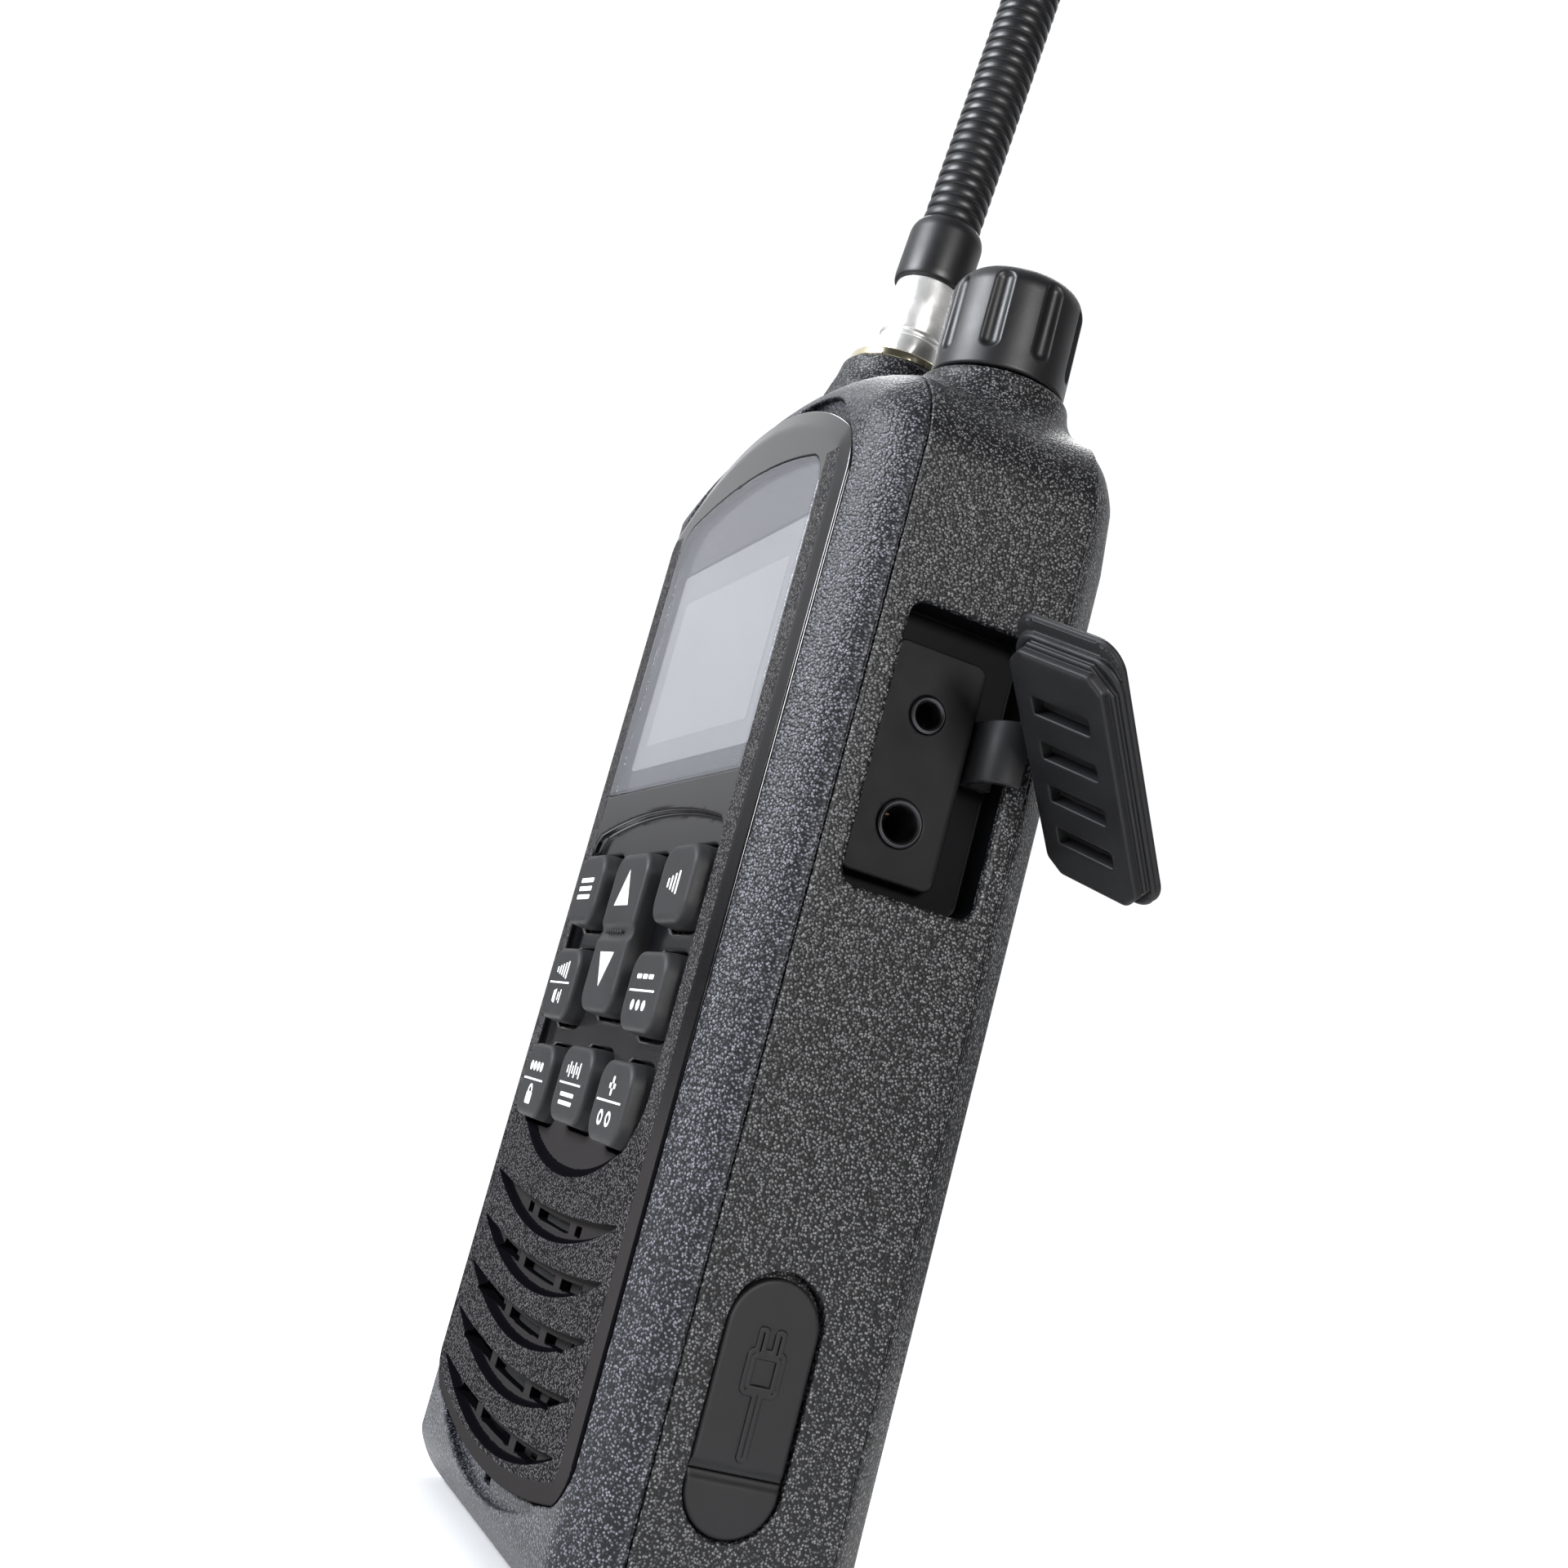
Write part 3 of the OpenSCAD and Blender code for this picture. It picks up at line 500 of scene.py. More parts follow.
def gloss_panel():
    """Smooth gloss, with fine grain on the flat face outside the lens and key areas, painted highlight dots on
    that grain, and a painted warm reflection on the lower recess floors.
    """
    g = Graph("panel_gloss")
    parts = g.node("ShaderNodeSeparateXYZ", {0: g.coords})
    x, y, z = (g.math("MULTIPLY", parts.outputs[i], 1 / MM) for i in range(3))
    wide = g.math("ABSOLUTE", x)
    face = g.math("LESS_THAN", y, Y_FACE + 0.05)
    above = g.math("GREATER_THAN", z, 75.9)
    arch = g.math("SQRT", g.math("ADD", g.math("POWER", x, 2.0),
                                 g.math("POWER", g.math("SUBTRACT", z, 73.8), 2.0)))
    within = g.math("LESS_THAN", arch, 49.6)
    middle = g.math("MAXIMUM", g.math("LESS_THAN", wide, LENS_HALF + 0.15),
                    g.math("GREATER_THAN", z, 115.5))
    smooth = g.math("MULTIPLY", g.math("MULTIPLY", above, within), middle)
    grain = g.math("MULTIPLY", face, g.math("SUBTRACT", 1.0, smooth))
    cells = g.math("ADD", g.cells(1 / (0.3 * MM), 0.4),
                   g.math("MULTIPLY", g.noise(1 / (0.12 * MM)), 0.4))
    g.bump(g.math("MULTIPLY", cells, grain), 0.8, 0.00006)
    # Faces turned up or to the side, which the painted reflection below leaves dark.
    normal = g.node("ShaderNodeSeparateXYZ",
                    {0: g.tree.nodes.new("ShaderNodeNewGeometry").outputs["True Normal"]})
    low = g.span(z, 44.0, 60.0, 1.0, 0.0)
    steep = g.math("MAXIMUM", g.math("GREATER_THAN", normal.outputs["Z"], 0.35),
                   g.math("GREATER_THAN", normal.outputs["X"], 0.4))
    plain = g.math("SUBTRACT", 1.0, g.math("MAXIMUM", g.math("MULTIPLY", grain, 0.78), low))
    slow = g.span(g.noise(120.0, 4.0, 0.6), 0.35, 0.7, 0.08, 0.2)
    rough = g.math("ADD", slow, g.math("MULTIPLY", grain, 0.42))
    specks = g.span(g.cells(1 / (0.9 * MM), feature="F1"), 0.0, 0.05, 1.0, 0.0)
    dust = g.math("MULTIPLY", specks, g.span(g.noise(500.0), 0.52, 0.6, 0.0, 0.5))
    # Painted highlights: lighter dots on the crowns of the grain, mixed into the colour below.
    painted_glint_dots = g.math("MULTIPLY", grain,
                  g.span(g.cells(1 / (0.25 * MM), feature="F1"), 0.08, 0.5, 0.8, 0.05))
    colour = g.mix(dust, g.worn((0.004, 0.004, 0.005), (0.03, 0.03, 0.033), 0.2), (0.2, 0.2, 0.2))
    # Painted reflection: the recessed floors low on the panel get a lighter warm colour. Faces turned up or to
    # the side, and the deep walls below z 40, are left out and stay dark.
    deep = g.math("MULTIPLY", g.math("GREATER_THAN", y, -4.65), g.math("LESS_THAN", z, 40.0))
    steep = g.math("MAXIMUM", steep, deep)
    recess = g.math("MULTIPLY", g.math("SUBTRACT", 1.0, face), g.math("SUBTRACT", 1.0, steep))
    colour = g.mix(g.math("MULTIPLY", recess, low), colour, (0.03, 0.028, 0.028))
    # Painted highlight dots on the grain.
    colour = g.mix(painted_glint_dots, colour, (0.2, 0.19, 0.19))
    g.set(Base_Color=colour, Roughness=rough, Specular_IOR_Level=g.math("MULTIPLY", plain, 0.55))
    return g.material


def lens_glass():
    g = Graph("lens_glass")
    slow = g.noise(90.0, 3.0)
    # The grey base colour, drifting slowly, is a painted reflection on the clear lens.
    g.set(Base_Color=g.mix(slow, (0.20, 0.205, 0.225), (0.26, 0.265, 0.29)), Roughness=0.05,
          Alpha=0.34, Specular_IOR_Level=0.5)
    return g.material


def display_glass(name, colour):
    g = Graph(name)
    drift = g.span(g.noise(70.0), 0.3, 0.7, 0.0, 1.0)
    g.set(Base_Color=g.mix(drift, tuple(c * 0.94 for c in colour), colour), Roughness=0.25)
    return g.material


def board_green():
    g = Graph("board")
    tracks = g.math("LESS_THAN", g.cells(900.0, feature="F1"), 0.28)
    g.bump(tracks, 0.3, 0.00005)
    g.set(Base_Color=g.mix(tracks, (0.02, 0.10, 0.04), (0.05, 0.19, 0.08)), Roughness=0.4)
    return g.material


# Each leather material's second colour is its painted sparkle colour, also used for its edge wear.
HOUSING = leather_plastic("housing", (0.003, 0.0032, 0.004), (0.28, 0.28, 0.29), cell=0.29,
                          depth=0.00006, rough=(0.36, 0.5),
                          plain={0: (20.0, 32.9), 1: (2.9, 17.8), 2: (72.4, 101.6)})
FRONT = leather_plastic("front_housing", (0.0035, 0.004, 0.006), (0.26, 0.265, 0.31), cell=0.29,
                        depth=0.0001, rough=(0.36, 0.48),
                        plain={0: (-24.0, 24.0), 1: (-4.0, 20.0), 2: (9.0, 118.0)})
PACK = leather_plastic("pack", (0.004, 0.0042, 0.005), (0.26, 0.26, 0.27), cell=0.36)
PANEL = gloss_panel()
KEY = satin("key", (0.014, 0.014, 0.015), (0.05, 0.05, 0.052), rough=(0.5, 0.66), grain=0.1)
RUBBER = satin("rubber", (0.006, 0.006, 0.007), (0.045, 0.045, 0.045), rough=(0.46, 0.62), grain=0.09,
               spec=0.36)
SOCKET_PLATE = satin("socket_plate", (0.004, 0.004, 0.0045), (0.02, 0.02, 0.02), rough=(0.5, 0.66),
                     grain=0.14, spec=0.22)
KNOB_MAT = satin("knob", (0.005, 0.005, 0.006), (0.03, 0.03, 0.032), rough=(0.36, 0.48), grain=0.14,
                 depth=0.00002, strength=0.5)
WHIP = satin("whip", (0.005, 0.005, 0.006), (0.03, 0.03, 0.032), rough=(0.33, 0.46), grain=0.2)
MARK = satin("mark", (0.78, 0.78, 0.78), (0.85, 0.85, 0.85), rough=(0.5, 0.6), grain=0.1)
NICKEL = metal("nickel", (0.95, 0.945, 0.93), 0.24, metallic=0.7)
BRASS = metal("champagne_plate", (0.80, 0.72, 0.52), 0.14)
STEEL = metal("steel", (0.60, 0.61, 0.62), 0.28)
JACK_METAL = metal("jack_metal", (0.07, 0.07, 0.075), 0.42)
GOLD = metal("contact_gold", (0.85, 0.66, 0.30), 0.25)
CAST = metal("cast_plate", (0.45, 0.46, 0.47), 0.45)
LENS = lens_glass()
DISPLAY = display_glass("display", (0.50, 0.51, 0.51))
DISPLAY_INNER = display_glass("display_inner", (0.66, 0.67, 0.66))
BOARD = board_green()
DARK = satin("inner_plastic", (0.02, 0.02, 0.02), (0.05, 0.05, 0.05))
CELL = satin("cell_wrap", (0.05, 0.10, 0.18), (0.1, 0.15, 0.22), rough=(0.2, 0.3))
GASKET = satin("gasket", (0.18, 0.05, 0.04), (0.25, 0.08, 0.06))


def felt_cloth():
    g = Graph("felt")
    threads = g.noise(1 / (0.15 * MM), 4.0, 0.8)
    g.bump(threads, 0.8, 0.0001)
    g.set(Base_Color=g.mix(threads, (0.006, 0.006, 0.006), (0.03, 0.03, 0.03)), Roughness=0.95)
    return g.material


FELT = felt_cloth()
BY_SLOT = {"housing_plastic": HOUSING, "panel_plastic": PANEL, "key_rubber": KEY,
           "cover_rubber": RUBBER, "lens": LENS, "display": DISPLAY, "knob_plastic": KNOB_MAT,
           "nickel": NICKEL, "brass_plate": BRASS, "steel": STEEL, "whip_rubber": WHIP,
           "board": BOARD, "inner_plastic": DARK, "cell_wrap": CELL, "cast_plate": CAST,
           "gasket_rubber": GASKET, "felt": FELT}
for part in frame["record"]["subparts"]:
    obj = bpy.data.objects.get(part["node"])
    if obj is None:
        obj = next(o for o in scene.objects if o.get("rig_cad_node") == part["node"])
    obj.data.materials.clear()
    obj.data.materials.append(BY_SLOT[part["material_slot"]])


# ---- front of the housing
def front_cover(x, y, z):
    u = body2(x, z)
    d = smooth_max(outer_slope(u, y), Y_FRONT - y, 0.8)
    d = cut(d, slope(u, y, (0.0, -0.35), (-0.35, 0.0)), 0.1)
    d = np.maximum(d, y)
    hollow = np.maximum(slope(u, y, (-2.25, 0.1), (-5.8, -2.4)), -2.4 - y)
    d = cut(d, hollow)
    p = panel2(x, z)
    ax = np.abs(x)
    wide = 1.75 * np.sin(np.clip((ax - 4.5) / 22.0, 0, 1) * math.pi)
    crescent = np.where(z > 100, wide, 0.0)
    scoop = np.where(z < 30, 2.3 * np.clip(1 - (x / 22.0) ** 2, 0, 1), 0.0)
    d = cut(d, np.maximum(p - 0.12, y + 3.6), 0.1)
    for extra, floor in ((crescent, y + 3.3), (scoop, y + 4.0)):
        off = 0.8 * np.clip(1 - extra / 0.5, 0, 1)
        d = cut(d, np.maximum(p - 0.12 - extra + off, floor), 0.4)
    d = cut(d, np.maximum(rect(x, z - 7.2, 1.15, 0.5, 0.2), -10 - y))
    d = cut(d, arched(x, z, 25.2, 11.5, 121.5, 4.0, 3.0, 51.0))
    for sx in (-SCREW_X, SCREW_X):
        for sz in SCREW_Z:
            post = rod(x - sx, z - sz, y, 2.3, -1.4, 15.8)
            d = np.minimum(d, np.maximum(post, -rod(x - sx, z - sz, y, 1.0, 6.0, 18.0)))
    return d


carve("front_cover_shell", front_cover, (-33.8, -5.2, -0.1), (33.8, 15.9, 130.1), 0.16,
      FRONT, "radio", ("front_cover",), "housing_plastic")


def key_places():
    for i in range(3):
        for s, side in ((-1, "left"), (1, "right")):
            yield f"key_{i + 1}_{side}", s * ROW_X[i], ROW_Z[i], ROW_W[i]
    yield "key_3_middle", 0.0, ROW_Z[2] + 0.6, 11.4


def louvre_top(x, i, shift=0.0):
    sag = LOUVRE_TOP_R - np.sqrt(LOUVRE_TOP_R ** 2 - np.minimum(np.abs(x), 60) ** 2)
    return LOUVRE_Z - i * LOUVRE_PITCH + shift + sag


def front_panel(x, y, z):
    p = panel2(x, z)
    bevel = slope(p, y, (0.0, Y_FRONT), (-2.0, Y_FACE))
    d = smooth_max(smooth_max(p, bevel, 0.2), Y_FACE - y, 0.12)
    d = np.maximum(d, y + 3.65)
    d = cut(d, np.maximum(lens2(x, z) - 0.1, y + 4.7), 0.08)
    d = cut(d, rect(x, z - 97.6, 20.5, 12.7, 1.0))
    bowl = keypad2(x, z)
    soft = 0.5 + 1.6 * np.clip((50 - z) / 8, 0, 1)
    recess = smooth_max(bowl, y + 4.85, soft)
    d = cut(d, recess, 0.35)
    for _, kx, kz, kw in key_places():
        hole = rect(x - kx, z - kz, kw / 2 + KEY_GAP, KEY_H / 2 + KEY_GAP, 2.8)
        d = cut(d, hole, 0.3)
    hole = rect(x, z - ROCKER_Z, ROCKER_W / 2 + KEY_GAP, ROCKER_H / 2 + KEY_GAP, 2.8)
    d = cut(d, hole, 0.3)
    for i in range(5):
        base = LOUVRE_Z - i * LOUVRE_PITCH
        upper = z - louvre_top(x, i, 1.0)
        lower = np.hypot(x, z - (base - 2.1 + LOUVRE_LOW_R)) - LOUVRE_LOW_R
        smile = round_max(upper, lower, 0.25)
        floor = y + 4.75
        scoop = smooth_max(smooth_max(upper, floor, 0.2),
                           (lower + (y - Y_FACE) * 0.45) * 0.9, 0.3)
        d = cut(d, np.maximum(scoop, smile - 0.05), 0.12)
        line = z - louvre_top(x, i, -0.25)
        ax = np.abs(x)
        reach = np.minimum(ax - 6.1, np.maximum(8.5 - ax, ax - SLOT_REACH[i]))
        d = cut(d, round_max(np.abs(line) - 0.52, reach, 0.15))
    return d


carve("front_panel_face", front_panel, (-28.1, -5.8, 7.9), (28.1, -3.6, 124.9), 0.11,
      PANEL, "radio", ("front_panel",), "panel_plastic")


def display_lens(x, y, z):
    return smooth_max(lens2(x, z), np.maximum(Y_FACE - 0.1 - y, y + 4.75), 0.35)


carve("display_lens_window", display_lens, (-22.6, -5.9, 81.8), (22.6, -4.7, 118.3), 0.12,
      LENS, "radio", ("display_lens",), "lens", adaptivity=0.02)


def plate_outline(cx, cz, half_x, half_z, r, steps=6):
    out = []
    for sx, sz, a0 in ((1, 1, 0), (-1, 1, 90), (-1, -1, 180), (1, -1, 270)):
        for k in range(steps + 1):
            a = math.radians(a0 + 90 * k / steps)
            out.append((cx + sx * (half_x - r) + r * math.cos(a),
                        cz + sz * (half_z - r) + r * math.sin(a)))
    return out


new_object("display_active_area", prism_mesh("display_active_area",
                                             [plate_outline(0, 97.0, 16.6, 9.0, 0.4)], -4.64, -4.605),
           DISPLAY_INNER, "radio", (), "display")


# ---- keys and their marks
def key_field(cx, cz, width, height, split=None):
    def field(x, y, z):
        u, v = x - cx, z - cz
        side = rect(u, v, width / 2, height / 2, 2.6)
        cap = smooth_max(side + np.clip((KEY_TOP + 1.6 - y) * 0.14, 0, 1), KEY_TOP - y, 0.6)
        cap = np.maximum(cap, y + 2.6)
        thick = 0.4 if split is None else 0.24
        flange = round_max(side - 0.7, np.abs(y + 2.6 + thick) - thick, 0.1)
        d = np.minimum(cap, flange)
        if split is not None:
            d = cut(d, (np.hypot((v - split) * 0.9, y - KEY_TOP + 0.55) - 0.95), 0.3)
            for k in range(-3, 4):
                rib = np.hypot(v - split, (u - k * 0.9)) - 0.2
                d = np.minimum(d, round_max(rib, np.abs(y - KEY_TOP - 0.1) - 0.2, 0.05))
        return d
    return field


for key_name, kx, kz, kw in key_places():
    carve(key_name + "_cap", key_field(kx, kz, kw, KEY_H),
          (kx - kw / 2 - 0.8, KEY_TOP - 0.1, kz - KEY_H / 2 - 0.8),
          (kx + kw / 2 + 0.8, -2.5, kz + KEY_H / 2 + 0.8), 0.11,
          KEY, key_name, (key_name,), "key_rubber")
carve("rocker_cap", key_field(0, ROCKER_Z, ROCKER_W, ROCKER_H, 0.0),
      (-6.6, KEY_TOP - 0.2, ROCKER_Z - 9.8), (6.6, -2.5, ROCKER_Z + 9.8), 0.11,
      KEY, "rocker", ("key_rocker",), "key_rubber")


def bar(cx, cz, w, h, r=None):
    return plate_outline(cx, cz, w / 2, h / 2, min(w, h) * 0.35 if r is None else r, 4)


def ring(cx, cz, r_out, r_in, n=20):
    """A ring as a row of short closed sectors."""
    out = []
    for k in range(n):
        a, b = 2 * math.pi * k / n, 2 * math.pi * (k + 1) / n
        out.append([(cx + r_out * math.cos(a), cz + r_out * math.sin(a)),
                    (cx + r_out * math.cos(b), cz + r_out * math.sin(b)),
                    (cx + r_in * math.cos(b), cz + r_in * math.sin(b)),
                    (cx + r_in * math.cos(a), cz + r_in * math.sin(a))])
    return out


def dot(cx, cz, r, n=16):
    return [(cx + r * math.cos(2 * math.pi * k / n), cz + r * math.sin(2 * math.pi * k / n))
            for k in range(n)]


def marks_for(name, cx, cz):
    """Plain pictograms: bars, dots, steps, a padlock; no lettering."""
    out = []
    if name == "key_1_left":
        out += [bar(cx, cz + dz, 5.0, 0.55) for dz in (1.0, 0.0, -1.0)]
    elif name == "key_1_right":
        out += [bar(cx - 1.5 + k * 1.0, cz, 0.5, 1.0 + 0.5 * k) for k in range(4)]
    else:
        out.append(bar(cx, cz, 8.0, 0.22))
        if name == "key_2_left":
            out += [bar(cx - 2.0 + k * 1.0, cz + 1.5, 0.5, 0.7 + 0.35 * k) for k in range(5)]
            out += [[(cx - 1.2, cz - 2.2), (cx - 1.2, cz - 1.0), (cx - 0.1, cz - 0.75),
                     (cx - 0.1, cz - 2.45)],
                    bar(cx + 0.9, cz - 1.6, 0.35, 1.0), bar(cx + 1.7, cz - 1.6, 0.35, 1.6)]
        elif name == "key_2_right":
            out += [bar(cx + dx, cz + 1.45, 1.5, 0.5) for dx in (-1.9, 0.0, 1.9)]
            out += [dot(cx + dx, cz - 1.5, 0.55) for dx in (-1.8, 0.0, 1.8)]
        elif name == "key_3_left":
            out += [dot(cx + dx, cz + 1.5, 0.55) for dx in (-2.1, -0.7, 0.7, 2.1)]
            out += [bar(cx, cz - 2.1, 2.2, 1.4, 0.25)]
            out += [s for s in ring(cx, cz - 1.35, 0.85, 0.5, 24) if s[0][1] > cz - 1.4]
        elif name == "key_3_middle":
            out += [bar(cx - 2.25 + k * 0.9, cz + 1.5, 0.42, 1.7 if k % 2 else 0.9) for k in range(6)]
            out += [bar(cx, cz - 1.2, 5.0, 0.45), bar(cx, cz - 2.1, 5.0, 0.45)]
        else:
            out += [bar(cx, cz + 1.55, 2.0, 0.55), bar(cx, cz + 1.55, 0.55, 2.0)]
            out += ring(cx - 1.3, cz - 1.7, 0.8, 0.45) + ring(cx + 1.3, cz - 1.7, 0.8, 0.45)
    return out


for key_name, kx, kz, kw in key_places():
    mesh = prism_mesh(key_name + "_mark", marks_for(key_name, kx, kz), KEY_TOP - 0.035, KEY_TOP + 0.15)
    new_object(key_name + "_mark", mesh, MARK, key_name, (), "key_rubber")
arrows = [[(-2.5, 67.6), (2.5, 67.6), (0.0, 71.6)], [(-2.5, 62.4), (2.5, 62.4), (0.0, 58.6)]]
new_object("rocker_arrows", prism_mesh("rocker_arrows", arrows, KEY_TOP - 0.035, KEY_TOP + 0.15),
           MARK, "rocker", (), "key_rubber")


# ---- rear shell
def ant_frame(x, y, z):
    """Coordinates along the leaning antenna, from its base."""
    s, c = math.sin(ANT_LEAN), math.cos(ANT_LEAN)
    dy, dz = y - ANT_BASE.y, z - ANT_BASE.z
    return x - ANT_BASE.x, dy * c - dz * s, dy * s + dz * c


def stadium(u, v, w, h):
    return np.hypot(u, np.maximum(np.abs(v) - (h - w) / 2, 0)) - w / 2


def rear_shell(x, y, z):
    u = body2(x, z)
    front = slope(u, y, (0.0, 0.35), (-0.35, 0.0))
    lower = smooth_max(smooth_max(u, y - Y_SEAM, 0.35), np.maximum(front, -y), 0.1)
    shoulder = 1.4 + 0.35 * np.clip(z - 112, 0, 8)
    upper = smooth_max(rear_slope(u - 0.35, y), y - Y_BACK, shoulder)
    upper = np.maximum(np.maximum(upper, front), np.maximum(PACK_TOP + 0.4 - z, -y))
    d = np.minimum(lower, upper)
    rho = np.hypot(x - KNOB[0], y - KNOB[1])
    boss_r = np.interp(z, (110, 121, 125, BOSS_TOP), (1.0, 8.6, 8.7, 8.0))
    boss = round_max(rho - boss_r, z - BOSS_TOP, 0.6)
    ax, ay, az = ant_frame(x, y, z)
    neck = round_max(np.hypot(ax, ay) - np.interp(az, (-22, -11, 0), (1.0, 8.0, 6.6)), az, 0.6)
    d = smooth_min(smooth_min(d, boss, 2.4), neck, 4.0)
    d = cut(d, y)
    d = cut(d, np.maximum(y - 0.24, -0.6 - u))
    hollow = np.maximum(u + 2.0, y - 15.9)
    keep = np.minimum(block(x, y, z, (27.4, 1.1, 70.6), (35, 20, 103.2), 0.3),
                      block(x, y, z, (29.6, 1.6, 9.9), (35, 14.7, 39.6), 0.3))
    keep = np.minimum(keep, np.maximum(rho - 7.0, 122.5 - z))
    keep = np.minimum(keep, np.maximum(np.hypot(ax, ay) - 5.6, -10.4 - az))
    hollow = np.maximum(hollow, -keep)
    d = cut(d, hollow)
    bay = block(x, y, z, (-31.7, 17.9, 2.0), (31.7, 40, 97.4), 0.5)
    d = cut(d, bay, 0.2)
    pocket = np.maximum(rect(y - 10.3, z - 86.9, 7.2, 14.3, 1.7), RECESS_X - x)
    d = cut(d, smooth_max(pocket, RECESS_X - x, 0.4), 0.55)
    for jz, _, _ in JACKS:
        d = cut(d, np.maximum(np.hypot(y - JACK_Y, z - jz) - 3.05, 20 - x))
    seat = np.minimum(stadium(y - USB_Y, z - USB_Z, USB_W + 0.3, USB_H + 0.3),
                      stadium(y - USB_Y - 0.15, z - USB_Z - 0.4, USB_W + 0.3, USB_H + 0.6))
    d = cut(d, np.maximum(seat, HALF_W - 1.75 - x), 0.3)
    d = cut(d, np.maximum(rect(y - USB_Y, z - 28.4, 2.1, 5.1, 1.0), 20 - x))
    d = cut(d, np.maximum(rho - 4.3, 110 - z))
    d = cut(d, np.maximum(np.hypot(ax, ay) - 3.2, -16 - az))
    left = x + HALF_W - 2.5
    d = cut(d, np.maximum(rect(y - PTT_Y, z - PTT_Z, 5.8, 13.8, 3.0), left), 0.3)
    for sz in SIDE_KEY_Z:
        d = cut(d, np.maximum(rect(y - PTT_Y, z - sz, 4.3, 5.05, 2.4), left), 0.3)
    d = cut(d, block(x, y, z, (-5.3, 22.7, 96.0), (5.3, 24.3, 99.4), 0.2))
    return d


carve("rear_housing", rear_shell, (-33.8, -0.1, -0.1), (33.8, 25.3, 137.6), 0.17,
      HOUSING, "radio", ("rear_shell",), "housing_plastic")


def battery(x, y, z):
    u = body2(x, z)
    d = smooth_max(rear_slope(u, y), y - Y_BACK, 1.4)
    d = smooth_max(d, Y_SEAM + 0.5 - y, 0.3)
    d = smooth_max(d, z - PACK_TOP, 0.5)
    plug = block(x, y, z, (-31.3, 18.1, 2.4), (31.3, 20.8, 96.6), 0.3)
    d = np.minimum(d, plug)
    d = cut(d, block(x, y, z, (-27, 17.0, 7.5), (27, 23.8, 88.0), 0.5))
    d = cut(d, block(x, y, z, (-29.9, 17, 4), (29.9, 19.3, 94.6), 0.3))
    d = cut(d, block(x, y, z, (-7.3, 22.2, 88.6), (7.3, 30, 99), 0.4), 0.25)
    d = cut(d, block(x, y, z, (-21, Y_BACK - 0.35, 12), (21, 30, 46), 1.5), 0.2)
    for k in range(4):
        for s in (-1, 1):
            d = cut(d, block(x, y, z, (s * 19 - 6.5, Y_BACK - 0.5, 64 + k * 3.2),
                                     (s * 19 + 6.5, 30, 65.5 + k * 3.2), 0.5), 0.3)
    return d


carve("battery_pack_case", battery, (-33.6, 18.0, -0.1), (33.6, 25.3, 97.2), 0.18,
      PACK, "radio", ("battery_case",), "housing_plastic")


# ---- jacks and covers
def jack_plate(x, y, z):
    d = round_max(rect(y - 8.55, z - 86.0, 5.15, 11.7, 1.2),
                  np.abs(x - (RECESS_X + PLATE_X) / 2) - (PLATE_X - RECESS_X) / 2, 0.3)
    for jz, _, rim in JACKS:
        rr = np.hypot(y - JACK_Y, z - jz)
        d = cut(d, (rr - rim - 0.05), 0.25)
    return d


carve("jack_plate_face", jack_plate, (RECESS_X - 0.1, 3.3, 74.2), (PLATE_X + 0.1, 13.8, 97.8), 0.1,
      SOCKET_PLATE, "radio", ("jack_plate",), "cover_rubber")
SIDEWAYS = Matrix.Rotation(math.radians(90), 4, "Y")
for label, (jz, bore, rim) in zip(("jack_barrel_large", "jack_barrel_small"), JACKS):
    top, low = PLATE_X + 0.35, PLATE_X - 14.4
    profile = [(bore, low + 0.5), (bore, top - 0.35), (bore + 0.12, top - 0.12), (bore + 0.3, top),
               (rim - 0.18, top), (rim, top - 0.15), (rim, PLATE_X - 3), (3.0, PLATE_X - 3.1),
               (3.0, low), (0, low), (0, low + 0.5)]
    place = Matrix.Translation((0, JACK_Y, jz)) @ SIDEWAYS
    new_object(label + "_sleeve", lathe_mesh(label, profile, 72, place), JACK_METAL, "radio",
               (label,), "steel")
contacts = []
for jz, bore, _ in JACKS:
    contacts.append([(PLATE_X - 9.5, jz + bore * 0.95), (PLATE_X - 5.6, jz + bore * 0.55),
                     (PLATE_X - 4.9, jz + bore * 0.5), (PLATE_X - 4.2, jz + bore * 0.7),
                     (PLATE_X - 4.2, jz + bore * 0.8), (PLATE_X - 5.0, jz + bore * 0.62),
                     (PLATE_X - 9.5, jz + bore)])
new_object("jack_contacts", prism_mesh("jack_contacts", contacts, JACK_Y - 0.45, JACK_Y + 0.45),
           GOLD, "radio", (), "steel")


